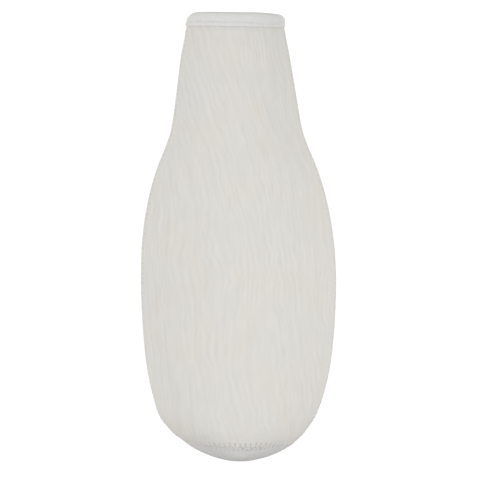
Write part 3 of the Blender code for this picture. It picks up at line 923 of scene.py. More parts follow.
def back_inner(hand):
    def inner(s, r):
        q, z = back_places(s, r, hand)
        t = np.sin(turn_at(q, z))
        points = skin(t, z, WALL, 1)
        # Both faces of the cut stand at one x, and its corners are turned.
        reach = skin(1.0, z, WALL, 1)[:, 0]
        first, first_t = slot_edge(z) / reach, np.sin(turn_at(slot_edge(z) / half_girth(z), z))
        t_in = first + (1 - first) * (t - first_t) / (1 - first_t)
        points = skin(t_in, z, WALL, 1)
        e, radius, depth = slot_turn(q, z)
        share = s_round(e, radius, depth * eased(z, 16, 21)) / WALL
        outside = on_cloth(q, z, 1)
        points = points + (outside - points) * share[:, None]
        points[:, 0] *= hand
        u = q * half_girth(z)
        return settled(points), np.stack([hand * u + 240.0, z], -1), {"grain": grain(u + 240, z), "pressed": np.zeros(len(z))}

    return inner


def back_needs(s, r):
    q, z = back_places(s.ravel(), r.ravel(), 1)
    girth = half_girth(z)
    edge, u = (1 - np.abs(q)) * girth, q * girth
    _, up = seam_up(q, z)
    level = np.ones(len(q), int)
    level[(edge < 3.2) | (up < 3.6) | (z > 191.0) | (np.abs(u - TOP_ROW) < 1.2)] = 2
    level[(edge < 2.3) | (up < 2.5) | ((z < 16.5) & (u < 2.4)) | (np.abs(u - TOP_ROW) < 0.6)] = 4
    level[(z > 194.2)] = 1
    return level.reshape(s.shape)


def make_back(hand):
    near = np.array([0, 0.0045, 0.009, 0.0135, 0.018, 0.0225, 0.027, 0.033, 0.04, 0.049, 0.059])
    across = np.concatenate([near, np.linspace(0.07, 1, 86)])
    up = np.linspace(0, 1, 185)
    split = fineness(across, up, back_needs)
    side = "left" if hand < 0 else "right"
    count = len(across)
    obj = shell(
        f"back_{side}_knit", LOOKS["panel"], across, up, split, back_outer(hand), back_inner(hand),
        every(count, 3, range(12)), every(185, 3, range(10)),
    )
    return obj


# ---- base ----

FLAT_SHARE = 0.14  # of the way from the middle of the base to its seam


def base_shape(turn, m, deep):
    t, side = np.sin(turn), np.where(np.cos(turn) >= 0, -1.0, 1.0)
    seam = seam_height(t) - TOUCH
    rise = np.clip((m - FLAT_SHARE) / (1 - FLAT_SHARE), 0, 1)
    z = seam * rise**1.75
    points = skin(t, z, deep, 1.0, gap=0.0)
    points[..., 1] *= side
    shrink = np.clip(m / FLAT_SHARE, 0, 1)
    points[..., 0] *= shrink
    points[..., 1] *= shrink
    return points, t, z, seam


def base_outer(s, r):
    turn, m = s * 2 * math.pi, 0.03 + 0.97 * r
    points, t, z, seam = base_shape(turn, m, 0.0)
    e = 0.004
    along = base_shape(turn + e, m, 0.0)[0] - base_shape(turn - e, m, 0.0)[0]
    out = base_shape(turn, np.minimum(m + e, 1), 0.0)[0] - base_shape(turn, m - e, 0.0)[0]
    normal = unit(np.cross(along, out))
    normal *= np.where((normal[:, 2] > 0.02), -1, 1)[:, None]
    lean = tilt(t, np.maximum(z, 1.0))
    down = (seam - z) / np.cos(np.minimum(lean, 1.2))
    u, v = points[:, 0], -points[:, 1]
    calm = eased(down, 0.6, 3.5) * eased(z, 0.1, 2.0)
    lines = grain(v + 300, u + 50) * calm
    relief = 0.03 * lines - rounded(down, 0.09, 0.008)
    hole = pits(down - BASE_ZIGZAG, base_row(t, seam - 1, 0.5), 0.36)
    relief -= 0.14 * hole
    relief += 0.02 * np.cos(2 * math.pi * ring_phase(t)) * np.exp(-((down - BASE_ZIGZAG) ** 2) / 1.5)
    relief += 0.12 * noise(u / 11, v / 11, 17) * eased(z, 0.3, 2.5) * eased(down, 1, 4)
    # Painted shade: darker colour in the needle holes of the base seam.
    pressed = np.clip(0.9 * hole, 0, 1)
    points = points + normal * relief[:, None]
    points[:, 2] = np.maximum(points[:, 2], 0.0)
    return settled(points), np.stack([v + 300, u], -1), {"grain": lines, "pressed": pressed}


def base_inner(s, r):
    turn, m = s * 2 * math.pi, 0.03 + 0.97 * r
    points, t, z, seam = base_shape(turn, m, WALL)
    u, v = points[:, 0], -points[:, 1]
    return settled(points), np.stack([v + 400, u], -1), {"grain": grain(v + 400, u), "pressed": np.zeros(len(z))}


def base_needs(s, r):
    turn, m = s.ravel() * 2 * math.pi, 0.03 + 0.97 * r.ravel()
    _, t, z, seam = base_shape(turn, m, 0.0)
    down = (seam - z) / np.cos(np.minimum(tilt(t, np.maximum(z, 1.0)), 1.2))
    level = np.ones(len(t), int)
    level[down < 3.4] = 2
    return level.reshape(s.shape)


def make_base():
    across, up = np.linspace(0, 1, 249), np.concatenate([np.linspace(0, 0.27, 6)[:-1], np.linspace(0.27, 1, 40)])
    split = fineness(across, up, base_needs)
    s, r, faces, table = patchwork(across, up, split, wrap=True)
    points, cloth, marks = base_outer(s, r)
    first = len(points)
    columns, rows = every(249, 2), every(len(up), 3)
    grid_s, grid_r = np.meshgrid(across[columns][:-1], up[rows], indexing="ij")
    more, more_cloth, more_marks = base_inner(grid_s.ravel(), grid_r.ravel())
    nu, nv = grid_s.shape

    def inside(i, j):
        return first + (i % nu) * nv + j

    for i in range(nu):
        for j in range(nv - 1):
            faces.append([inside(i, j), inside(i, j + 1), inside(i + 1, j + 1), inside(i + 1, j)])
        edge = [table[x][(len(up) - 1) * 4] for x in range(columns[i] * 4, columns[i + 1] * 4 + 1)]
        edge = [c for c in edge if c >= 0]
        faces.append([inside(i, nv - 1), inside(i + 1, nv - 1)] + edge[::-1])
    low = [c for c in (table[x][0] for x in range(0, 248 * 4)) if c >= 0]
    faces.append(low[::-1])
    faces.append([inside(i, 0) for i in range(nu)])
    obj = make(
        "base_panel_knit", np.concatenate([points, more]), faces, LOOKS["base"], cloth=np.concatenate([cloth, more_cloth]),
        marks={k: np.concatenate([marks[k], more_marks[k]]) for k in marks},
    )
    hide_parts("base_panel")
    return obj


# ---- neck binding ----

# Round the folded strip: depth under the outer skin, and height
BINDING_LINE = (
    (0.58, 194.4), (0.48, 193.95), (0.3, 193.6), (0.04, 193.42), (-0.2, 193.5), (-0.35, 193.85), (-0.38, 194.35), (-0.32, 194.9),
    (-0.2, 195.4), (-0.16, 195.9), (-0.16, 196.5), (-0.15, 197.2), (-0.1, 197.9), (0.02, 198.5), (0.22, 199.05), (0.6, 199.55),
    (1.2, 199.9), (1.85, 200.0), (2.5, 199.9), (3.1, 199.55), (3.55, 199.0), (3.82, 198.2), (3.9, 197.2), (3.92, 196.2),
    (3.86, 195.4), (3.92, 194.8), (3.8, 194.3), (3.55, 194.2), (3.36, 194.5), (3.3, 195.4), (3.3, 197.4), (3.22, 198.5), (2.8, 199.0),
    (2.0, 199.2), (1.3, 199.1), (0.8, 198.7), (0.64, 197.9), (0.62, 196.0),
)
NECK_Z = 197.0
TOP_DROP = (
    (-21.9, 1.9), (-21, 1.35), (-19.8, 0.8), (-18.6, 0.4), (-16.8, 0.14), (-14.5, 0.02), (-12, 0.0), (8, 0.0), (12, 0.06), (16, 0.28),
    (19, 0.64), (20.6, 0.9), (21.9, 1.32),
)
# How far the row of stitches in the binding strays down, at distances from the middle of the front
ROW_DROP = ((4, 0.0), (8, 0.4), (13.5, 0.75), (17.5, 0.5), (20, -0.1), (22.5, -0.9), (24.5, -1.1), (27.5, -0.7), (31, 0.0))
top_drop = smooth_through(TOP_DROP)
row_drop = smooth_through(ROW_DROP)


def closed_line(points, times=1):
    """A closed line with points added between its own, on a smooth curve."""
    p = np.array(points, float)
    for _ in range(times):
        before, after, after2 = np.roll(p, 1, 0), np.roll(p, -1, 0), np.roll(p, -2, 0)
        middle = (-before + 9 * p + 9 * after - after2) / 16
        p = np.stack([p, middle], 1).reshape(-1, 2)
    return p


def neck_stations(front=190, back=84):
    """(q, side) round the neck from one cut beside the zipper to the other."""
    first = float(SLOT_HALF / half_girth(NECK_Z))
    back_q = first + (1 - first) * np.linspace(0, 1, back + 1)
    q = np.concatenate([-back_q, np.linspace(-1, 1, front + 1)[1:-1], back_q[::-1]])
    side = np.concatenate([np.ones(back + 1), -np.ones(front - 1), np.ones(back + 1)])
    # The two side edges belong to the front and the back alike.
    return q, side


def neck_run(q, side):
    """The distance round the neck from the middle of the front."""
    girth = float(half_girth(NECK_Z))
    return np.where(side < 0, q * girth, np.sign(q) * (2 - np.abs(q)) * girth)


def binding_points(q, side, deep, z):
    t = np.sin(turn_at(q, NECK_Z))
    points = skin(t, z, deep, 1.0)
    points[..., 1] *= side
    points[..., 2] = z
    x = points[..., 0]
    beside = eased(np.abs(x) / half_width(z), 0.24, 0.95)
    share = 1 - (1 - beside) * eased(points[..., 1], -6, 6)
    points[..., 2] -= 0.0155 * x * share
    points[..., 2] -= top_drop(x) * eased(z, 195.6, 199.6) + 0.25 * eased(z, 197, 200)
    points[..., 0] += 0.42 * eased(x, 13, 21) * eased(z, 194.5, 197)
    return settled(points)


def binding_face(z):
    """The depth of the binding's outer face beside its row of stitches."""
    return np.interp(z, (193.85, 194.35, 194.9, 195.4, 195.9, 196.5), (-0.35, -0.38, -0.32, -0.2, -0.16, -0.16))


def row_depth(run):
    """How much deeper than usual the binding is drawn in along its stitches."""
    return 1 + 2.0 * np.exp(-(((run - 16) / 8) ** 2))


def binding_relief(run, z, deep):
    """The binding is drawn in along its stitches and puffs up beside them."""
    outer = deep < 1.0
    row = z - 195.4 + row_drop(run)
    hole = pits(from_nearest(run, LOCK_PITCH, 0.5), row, 0.36) * outer
    out = -0.08 * row_depth(run) * np.exp(-(row**2) / 0.26) * outer - 0.08 * hole
    out += 0.03 * np.cos(2 * math.pi * run / LOCK_PITCH) * np.exp(-((row - 0.9) ** 2) / 0.8) * outer
    out += 0.03 * np.cos(2 * math.pi * run / LOCK_PITCH) * np.exp(-((row + 1.0) ** 2) / 0.6) * outer
    # Drawn round the curve of the edge, it wrinkles a little, slantwise.
    drag = noise((run + 0.8 * z) / 1.7, z / 4.5, 22) + 0.5 * noise((run - 0.5 * z) / 1.1, z / 3, 23)
    out += (0.06 * noise(run / 6.5, z / 5, 21) + 0.035 * drag) * np.where(outer, 1, 0.8)
    return out, hole


def make_binding():
    q, side = neck_stations()
    run = neck_run(q, side)
    line = closed_line(BINDING_LINE)
    deep, z = np.broadcast_to(line[:, 0], (len(q), len(line))), np.broadcast_to(line[:, 1], (len(q), len(line)))
    full_run = np.broadcast_to(run[:, None], deep.shape)
    out, hole = binding_relief(full_run, z, deep)
    # Relief works outwards on the outer face, inwards on the inner one, and not inside the fold.
    facing = np.where(deep < 0.5, 1.0, np.where(deep > 3.4, -1.0, 0.0))
    top = eased(z, 198.6, 199.5) * (np.arange(len(line)) < len(line) * 0.62)
    points = binding_points(
        np.broadcast_to(q[:, None], deep.shape), np.broadcast_to(side[:, None], deep.shape), deep - out * facing, z + out * top * 1.3
    )
    girth = float(half_girth(NECK_Z))
    soft = np.exp(-(((np.abs(full_run[:, 0]) - girth) / 1.3) ** 2))
    for k in range(points.shape[1]):
        points[:, k] = smoothed(points[:, k], 24, soft)
    rows, cols = deep.shape
    faces, corners = [], []
    around = np.concatenate([[0], np.cumsum(np.linalg.norm(np.diff(np.vstack([line, line[:1]]), axis=0), axis=1))])
    for i in range(rows - 1):
        for k in range(cols):
            j = (k + 1) % cols
            faces.append([i * cols + k, i * cols + j, (i + 1) * cols + j, (i + 1) * cols + k])
            corners += [(run[i], around[k]), (run[i], around[k + 1]), (run[i + 1], around[k + 1]), (run[i + 1], around[k])]
    for i in (0, rows - 1):
        faces.append([i * cols + k for k in range(cols)])
        corners += [(run[i] + line[k, 0], line[k, 1] - 193) for k in range(cols)]
    lines = grain(full_run + 500, z)
    # Shade is painted into the binding's stitch holes.
    obj = make(
        "neck_binding_knit", points.reshape(-1, 3), faces, LOOKS["binding"], corner_cloth=np.array(corners) + (500.0, 0.0),
        marks={"grain": lines.ravel(), "pressed": np.clip(0.3 * hole, 0, 1).ravel()},
    )
    return obj


def make_binding_thread():
    girth = float(half_girth(NECK_Z))
    end = girth * 2 - SLOT_HALF - 0.9
    count = int(end / LOCK_PITCH - 0.5)
    start, stop = -(count + 0.5) * LOCK_PITCH, (count + 0.5) * LOCK_PITCH
    shape = ((0.0, -0.42), (0.06, -0.22), (0.13, -0.05), (0.25, 0.01), (0.5, 0.03), (0.75, 0.01), (0.87, -0.05), (0.94, -0.22))
    run, lift = [], []
    k = start
    while k < stop - 0.01:
        for share, high in shape:
            run.append(k + share * LOCK_PITCH)
            lift.append(high)
        k += LOCK_PITCH
    run, lift = np.array(run + [stop]), np.array(lift + [-0.42])
    beyond = np.abs(run) > girth
    q = np.where(beyond, np.sign(run) * (2 - np.abs(run) / girth), run / girth)
    side = np.where(beyond, 1.0, -1.0)
    z = 195.4 - row_drop(run)
    points = binding_points(q, side, binding_face(z) + 0.08 * row_depth(run) + 0.02 - lift * 0.9, z)
    points = smoothed(points, 10, np.exp(-(((np.abs(run) - girth) / 1.2) ** 2)))
    return tube("binding_lockstitch", [points], 0.12, LOOKS["thread"])


# ---- seam threads ----

CROSSING = (
    (0.0, -0.36), (0.05, -0.18), (0.12, -0.05), (0.2, -0.01), (0.28, 0.0), (0.35, 0.01), (0.41, 0.02), (0.455, 0.02),
    (0.5, 0.02), (0.545, 0.02), (0.59, 0.02), (0.65, 0.01), (0.72, 0.0), (0.8, -0.01), (0.88, -0.05), (0.95, -0.18),
)


def zigzag(first, count, place):
    """A zigzag from hole to hole. place takes the number of half stitches along, the share of the way over and the lift, all as lists."""
    along, over, lift = [], [], []
    for k in range(count):
        for share, high in CROSSING:
            along.append(first + k + share)
            over.append(share if k % 2 == 0 else 1 - share)
            lift.append(high)
    along.append(first + count)
    over.append(0.0 if count % 2 == 0 else 1.0)
    lift.append(-0.36)
    return place(np.array(along), np.array(over), np.array(lift))


def make_side_thread(hand):
    def place(along, over, lift):
        z = along * SIDE_PITCH / 2
        across = (over * 2 - 1) * ZIGZAG  # from the front, below 0, to the back
        q = 1 - np.abs(across) / half_girth(z)
        sunk = -rounded(np.abs(across), 0.6, 0.22)
        front, back = lifted(q, z, -1, sunk), lifted(q, z, 1, sunk)
        n_front, n_back = cloth_normal(q, z, -1), cloth_normal(q, z, 1)
        share = eased(across, -0.7, 0.7)[:, None]
        normal = unit(n_front * (1 - share) + n_back * share)
        points = np.where(across[:, None] < 0, front, back) + normal * (lift + 0.03)[:, None]
        points[:, 0] *= hand
        return settled(points)

    first, last = 10, int(192.4 / SIDE_PITCH * 2)
    if (last - first) % 2:
        last -= 1
    points = zigzag(first, last - first, place)
    side = "left" if hand < 0 else "right"
    obj = tube(f"side_zigzag_{side}", [points], THREAD, LOOKS["thread"])
    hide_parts(f"side_seam_thread_{side}")
    return obj


def make_base_thread():
    def place(along, over, lift):
        turn = along / 2 / BASE_STITCHES * 2 * math.pi
        t, side = np.sin(turn), np.where(np.cos(turn) >= 0, -1.0, 1.0)
        z = seam_height(t)
        lean = tilt(t, z)
        rise = (1 - over * 2) * BASE_ZIGZAG * np.cos(lean)
        z = z + rise
        low = seam_height(t)

        def at(turn, z):
            t = np.sin(turn)
            p = skin(t, z, 0.0, 1.0)
            p[:, 1] *= np.where(np.cos(turn) >= 0, -1.0, 1.0)
            return p

        points = at(turn, z)
        around = at(turn + 0.004, z) - at(turn - 0.004, z)
        up = at(turn, z + 0.1) - at(turn, z - 0.1)
        normal = unit(np.cross(around, up))
        normal *= np.sign((normal * np.stack([points[:, 0], points[:, 1], z * 0 - 20], -1)).sum(1))[:, None]
        return settled(points + normal * (lift * 0.9 - 0.06 - 0.015 * np.exp(-(((z - low) / 0.5) ** 2)))[:, None])

    points = zigzag(0, BASE_STITCHES * 2, place)
    obj = tube("base_zigzag", [points], 0.11, LOOKS["thread"])
    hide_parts("base_seam_thread")
    return obj


def make_back_seam_thread():
    def place(along, over, lift):
        z = along * SIDE_PITCH / 2
        x = (over * 2 - 1) * ZIGZAG
        q = np.abs(x) / half_girth(z)
        points = on_cloth(q, z, 1) + cloth_normal(q, z, 1) * lift[:, None]
        points[:, 0] = x
        return settled(points)

    points = zigzag(8, 6, place)
    obj = tube("back_zigzag", [points], THREAD, LOOKS["thread"])
    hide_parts("back_seam_thread")
    return obj


def make_topstitch(hand):
    first, last = int(math.ceil(22.5 / TOP_PITCH)), int(192.6 / TOP_PITCH)
    shape = ((0.0, -0.4), (0.06, -0.2), (0.13, 0.0), (0.28, 0.08), (0.5, 0.1), (0.72, 0.08), (0.87, 0.0), (0.94, -0.2))
    z = np.array([(k + share) * TOP_PITCH for k in range(first, last) for share, _ in shape] + [last * TOP_PITCH])
    lift = np.array([high for k in range(first, last) for _, high in shape] + [-0.4])
    q = TOP_ROW / half_girth(z)
    points = on_cloth(q, z, 1) + cloth_normal(q, z, 1) * (lift - 0.06)[:, None]
    points[:, 0] *= hand
    side = "left" if hand < 0 else "right"
    return tube(f"topstitch_{side}", [settled(points)], 0.15, LOOKS["thread"])


# ---- zipper ----


def make_tape(hand):
    """The tape lies against the inside of the back, and its narrow end goes up between the binding's ends."""
    z = np.concatenate([np.linspace(TAPE_LOW, TAPE_TOP, 180), [193.2, 193.4, 193.8, 195, 196.5, 198, TAPE_END]])
    share = np.concatenate([[0, 0.012, 0.03], np.linspace(0.06, 0.94, 26), [0.97, 0.988, 1]])
    grid_z, grid_s = np.meshgrid(z, share, indexing="ij")
    out_edge = TAPE_OUT + (TAPE_END_OUT - TAPE_OUT) * eased(grid_z, TAPE_TOP, TAPE_TOP + 0.5)
    # Its inner edges meet under the coil, and part above the slider.
    in_edge = 0.03 + (TAPE_IN - 0.03) * eased(grid_z, SLIDER_AT - 1.5, SLIDER_AT + 3.5)
    x = in_edge + (out_edge - in_edge) * grid_s
    line = straight_depth(grid_z) - TAPE_SET_BACK
    y = np.where(x > SLOT_HALF + 0.3, np.minimum(line, inner_depth_at(x, grid_z) - 0.35), line)
    # A cord is woven into the inner edge, and the outer edge is thin.
    bead = 0.12 * np.exp(-(((x - in_edge - 0.35) / 0.35) ** 2))
    half = (TAPE_THICK / 2 - 0.02) * (1 - 0.75 * rounded(np.minimum(x - in_edge, out_edge - x), 0.3, 1.0))
    sway = 0.07 * noise(x / 5, grid_z / 13, 31 + hand) * eased(x, 3, 6)
    centre = y - TAPE_THICK / 2
    front = np.stack([hand * x, centre + half + sway - 0.02, grid_z], -1).reshape(-1, 3)
    back = np.stack([hand * x, centre - half + sway - bead, grid_z], -1).reshape(-1, 3)
    rows, cols = grid_z.shape
    count = rows * cols
    faces = []
    for i in range(rows - 1):
        for k in range(cols - 1):
            a, b, c, d = i * cols + k, i * cols + k + 1, (i + 1) * cols + k + 1, (i + 1) * cols + k
            faces.append([a, b, c, d])
            faces.append([count + a, count + d, count + c, count + b])
    for i in range(rows - 1):
        for k in (0, cols - 1):
            a, d = i * cols + k, (i + 1) * cols + k
            faces.append([a, d, count + d, count + a])
    for i in (0, rows - 1):
        for k in range(cols - 1):
            a, b = i * cols + k, i * cols + k + 1
            faces.append([a, b, count + b, count + a])
    cloth = np.stack([x, grid_z], -1).reshape(-1, 2)
    side = "left" if hand < 0 else "right"
    return make(f"tape_{side}", np.concatenate([front, back]), faces, LOOKS["tape"], cloth=np.concatenate([cloth, cloth + (30, 0)]))


def make_coil(hand):
    """A nylon wire wound into teeth. Its head is squashed wide, and it steps on at the back of each turn."""
    per = 12
    turns = int((COIL_TOP - COIL_LOW) / TOOTH)
    phase = np.arange(turns * per + 1) / per
    angle = phase * 2 * math.pi
    step = np.floor(phase) + eased(phase - np.floor(phase), 0.3, 0.7)
    v = COIL_LOW + 0.3 + (step + (0.5 if hand > 0 else 0.0)) * TOOTH - (0.25 * TOOTH if hand > 0 else 0)
    squarish = np.sign(np.sin(angle)) * np.abs(np.sin(angle)) ** 0.7
    u = 0.93 - 0.9 * np.cos(angle)
    w = 0.79 + 0.35 * squarish
    # Above the slider the two halves part.
    u = u + 0.72 * eased(v, SLIDER_AT + 0.6, SLIDER_AT + 3.6) + 0.05 * eased(v, COIL_LOW + 1.5, COIL_LOW)
    radius = 0.25 + 0.06 * np.exp(-(((np.minimum(phase % 1, 1 - phase % 1)) / 0.1) ** 2))
    keep = v < COIL_TOP - 0.4
    path = on_zipper(hand * u[keep], v[keep], w[keep])
    side = "left" if hand < 0 else "right"
    return tube(f"coil_{side}", [path], [radius[keep]], LOOKS["coil"], sides=7)


def make_coil_thread(hand):
    """Two rows of small stitches that hold the coil to its tape."""
    side = "left" if hand < 0 else "right"
    paths = []
    turns = int((COIL_TOP - COIL_LOW) / TOOTH) - 1
    shift = 0.5 if hand > 0 else 0.0
    for row, offset in ((1.12, 0.0), (1.62, 0.5)):
        phase = np.arange(turns * 6 + 1) / 6
        v = COIL_LOW + 0.3 + phase * TOOTH
        high = 1.3 + 0.16 * np.cos(2 * math.pi * (phase - shift))
        u = row + 0.1 * np.cos(math.pi * (phase + offset)) + 0.72 * eased(v, SLIDER_AT + 0.6, SLIDER_AT + 3.6)
        paths.append(on_zipper(hand * u, v, high))
    return tube(f"coil_stitches_{side}", paths, 0.1, LOOKS["thread"], sides=5)


def soft_box(name, u, v, w, look, bevel=0.3, grooves=()):
    """A small clamp on the zipper with soft corners and shallow grooves across it."""
    bm = bmesh.new()
    bmesh.ops.create_cube(bm, size=1.0)
    for vert in bm.verts:
        vert.co = Vector((
            (u[0] + u[1]) / 2 + vert.co.x * (u[1] - u[0]),
            (w[0] + w[1]) / 2 + vert.co.y * (w[1] - w[0]),
            (v[0] + v[1]) / 2 + vert.co.z * (v[1] - v[0]),
        ))
    cuts = []
    for at, depth in grooves:
        cuts += [(at - 0.22, 0.0), (at - 0.08, depth), (at + 0.08, depth), (at + 0.22, 0.0)]
    for at, _ in cuts:
        bmesh.ops.bisect_plane(bm, geom=bm.verts[:] + bm.edges[:] + bm.faces[:], dist=1e-5, plane_co=(0, 0, at), plane_no=(0, 0, 1))
    for vert in bm.verts:
        for at, depth in cuts:
            if abs(vert.co.z - at) < 1e-4 and vert.co.y > (w[0] + w[1]) / 2:
                vert.co.y -= depth
    bmesh.ops.recalc_face_normals(bm, faces=bm.faces)
    sharp = [e for e in bm.edges if e.calc_face_angle(0) > math.radians(50)]
    bmesh.ops.bevel(bm, geom=sharp, offset=bevel, segments=4, affect="EDGES", profile=0.5, clamp_overlap=True)
    points = np.array([tuple(vert.co) for vert in bm.verts])
    faces = [[vert.index for vert in f.verts] for f in bm.faces]
    bm.free()
    placed = on_zipper(points[:, 0], points[:, 2], points[:, 1])
    obj = make(name, placed, faces, look, cloth=points[:, [0, 2]])
    obj.data.set_sharp_from_angle(angle=math.radians(40))
    return obj


def plate(outlines, low, high, bevel=0.2):
    """A plate with round edges from closed outlines, the later ones being holes, in u and v. It lies between low and high in w."""
    curve = bpy.data.curves.new("plate", "CURVE")
    curve.dimensions = "2D"
    curve.fill_mode = "BOTH"
    curve.extrude = (high - low) / 2 - bevel
    curve.bevel_depth = bevel
    curve.bevel_resolution = 3
    curve.offset = -bevel
    for outline in outlines:
        spline = curve.splines.new("POLY")
        spline.points.add(len(outline) - 1)
        for point, (x, y) in zip(spline.points, outline):
            point.co = (x, y, 0, 1)
        spline.use_cyclic_u = True
    temp = bpy.data.objects.new("plate", curve)
    SCENE.collection.objects.link(temp)
    bpy.context.view_layer.update()
    mesh = bpy.data.meshes.new_from_object(temp.evaluated_get(bpy.context.evaluated_depsgraph_get()))
    bpy.data.objects.remove(temp, do_unlink=True)
    bm = bmesh.new()
    bm.from_mesh(mesh)
    bmesh.ops.remove_doubles(bm, verts=bm.verts, dist=1e-4)
    for vert in bm.verts:
        x, y, z = vert.co
        vert.co = Vector((x, (low + high) / 2 + z, y))
    bmesh.ops.recalc_face_normals(bm, faces=bm.faces)
    return bm


def corner_round(points, radius, steps=5):
    """A closed outline with its corners rounded."""
    found = []
    count = len(points)
    for k in range(count):
        p, a, b = (np.array(points[i % count], float) for i in (k, k - 1, k + 1))
        ua, ub = unit(a - p), unit(b - p)
        r = min(radius, np.linalg.norm(a - p) * 0.45, np.linalg.norm(b - p) * 0.45)
        for s in np.linspace(0, 1, steps):
            found.append(tuple((1 - s) ** 2 * (p + ua * r) + 2 * s * (1 - s) * p + s * s * (p + ub * r)))
    return found


def ribbon(path, wide, thick, round_steps=3):
    """A bent strip of metal along a path in (v, w), as a bmesh in slider space."""
    path = np.array(path, float)
    ahead = unit(np.gradient(path, axis=0))
    across = np.stack([-ahead[:, 1], ahead[:, 0]], -1)
    r = thick * 0.42
    section = []
    for cx, cy, start in ((wide / 2 - r, thick / 2 - r, 0), (-wide / 2 + r, thick / 2 - r, 90), (-wide / 2 + r, -thick / 2 + r, 180), (wide / 2 - r, -thick / 2 + r, 270)):
        for k in range(round_steps + 1):
            a = math.radians(start + 90 * k / round_steps)
            section.append((cx + r * math.cos(a), cy + r * math.sin(a)))
    bm = bmesh.new()
    rows = []
    for p, n in zip(path, across):
        rows.append([bm.verts.new((x, p[1] + n[1] * h, p[0] + n[0] * h)) for x, h in section])
    for low, high in zip(rows, rows[1:]):
        for i in range(len(section)):
            j = (i + 1) % len(section)
            bm.faces.new((low[i], low[j], high[j], high[i]))
    bm.faces.new(rows[0])
    bm.faces.new(rows[-1])
    bmesh.ops.recalc_face_normals(bm, faces=bm.faces)
    return bm


def joined(name, parts, look, place):
    """One object from several bmeshes in slider space (X = u, Y = w, Z = v). place turns (u, v, w) into points."""
    points, faces, first = [], [], 0
    for bm in parts:
        bm.verts.index_update()
        points += [tuple(v.co) for v in bm.verts]
        faces += [[first + v.index for v in f.verts] for f in bm.faces]
        first += len(bm.verts)
        bm.free()
    points = np.array(points)
    obj = make(name, place(points[:, 0], points[:, 2], points[:, 1]), faces, look, cloth=points[:, [0, 2]])
    obj.data.set_sharp_from_angle(angle=math.radians(38))
    return obj


def make_slider():
    n = SLIDER_HALF
    outline = [
        (-2.7, -n), (2.7, -n), (3.2, -n + 0.9), (3.3, 1.2), (3.15, n - 1.0), (2.2, n), (0.9, n - 0.35), (-0.9, n - 0.35),
        (-2.2, n), (-3.15, n - 1.0), (-3.3, 1.2), (-3.2, -n + 0.9),
    ]
    outline = corner_round(outline, 0.8)
    parts = [plate([outline], 1.9, 2.6, 0.26), plate([outline], -1.7, -0.85, 0.28)]
    # A raised panel on the outer plate
    inset = corner_round([(x * 0.74, y * 0.8 - 0.15) for x, y in outline[::3]], 0.6)
    parts.append(plate([inset], 2.3, 2.76, 0.14))
    wedge = corner_round([(-0.22, 1.4), (0.22, 1.4), (0.34, 2.6), (0.34, n - 0.7), (-0.34, n - 0.7), (-0.34, 2.6)], 0.15)
    parts.append(plate([wedge], -1.2, 2.1, 0.05))
    for side in (-1, 1):
        lip = [(side * 2.5, -n + 0.9), (side * 3.2, -n + 0.9), (side * 3.24, 0.2), (side * 2.75, 0.2)]
        parts.append(plate([corner_round(lip if side > 0 else lip[::-1], 0.25)], 0.4, 2.2, 0.12))
    # The bridge that holds the pull tab: an arch with round shoulders
    path = [(-2.0, 2.2), (-2.02, 2.8), (-2.0, 3.4)]
    path += [(-1.15 - 0.85 * math.cos(a), 3.42 + 0.88 * math.sin(a)) for a in np.linspace(0, math.pi / 2, 8)[1:]]
    path += [(-0.5, 4.32), (0.0, 4.33), (0.5, 4.32)]
    path += [(1.15 + 0.85 * math.sin(a), 3.42 + 0.88 * math.cos(a)) for a in np.linspace(0, math.pi / 2, 8)[:-1]]
    path += [(2.0, 3.4), (2.02, 2.8), (2.0, 2.2)]
    parts.append(ribbon(path, 1.75, 0.62))
    obj = joined("slider_body", parts, LOOKS["nickel"], lambda u, v, w: on_zipper(u, v + SLIDER_AT, w))
    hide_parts("zipper_slider")
    return obj


def make_pull():
    outer = [(-2.6, -5.2), (-2.1, 0.62), (2.1, 0.62), (2.6, -5.2)]
    ends = [(2.6, -TAB_LENGTH + 2.6)]
    ends += [(2.6 * math.cos(a), -TAB_LENGTH + 2.6 - 2.6 * math.sin(a)) for a in (math.radians(d) for d in range(10, 180, 10))]
    ends += [(-2.6, -TAB_LENGTH + 2.6)]
    rim = corner_round(outer + ends, 0.7, 4)
    window = corner_round([(-1.25, -0.5), (1.25, -0.5), (1.25, -3.9), (0.9, -4.3), (-0.9, -4.3), (-1.25, -3.9)], 0.35)
    hole = [(1.0 * math.cos(a), -TAB_LENGTH + 3.2 + 1.0 * math.sin(a)) for a in (math.radians(d) for d in range(0, 360, 12))]
    parts = [plate([rim, window, hole], -0.42, 0.42, 0.2)]
    # Grip ribs on both faces
    for k in range(5):
        v = -6.4 - 1.05 * k
        bar = corner_round([(-1.5, v - 0.22), (1.5, v - 0.22), (1.5, v + 0.22), (-1.5, v + 0.22)], 0.2)
        parts.append(plate([bar], -0.56, 0.56, 0.12))
    place = lambda u, v, w: on_zipper(u, v + SLIDER_AT, w + TAB_AXIS_OUT)
    obj = joined("pull_tab_metal", parts, LOOKS["nickel"], place)
    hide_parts("zipper_pull_tab")
    return obj


# ---- making the pieces ----

front = make_front()
base = make_base()
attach(front, "sleeve")
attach(base, "sleeve")
for piece in (make_base_thread(), make_back_seam_thread(), make_side_thread(-1), make_side_thread(1)):
    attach(piece, "sleeve")

# Each back half is cut along a slanting plane from the foot of the zipper to the side of the neck, into a lapel beside
# the zipper and a fixed part.
FOOT, NECK_SIDE = np.array([-0.3, 22.0, 30.0]), np.array([-17.4, 0.0, 200.0])
FLARE = math.radians(13)
KEEP = 0.42


def lapel_plane(hand):
    """(normal towards the zipper, point) of the plane for a cloth piece of one half."""
    a, b = math.cos(FLARE), -math.sin(FLARE)
    run = NECK_SIDE - FOOT
    c = -(run[0] * a + run[1] * b) / run[2]
    normal = unit(np.array([a, b, c]))
    normal[0] *= -hand
    return normal, np.array([-hand * FOOT[0], FOOT[1], FOOT[2]])


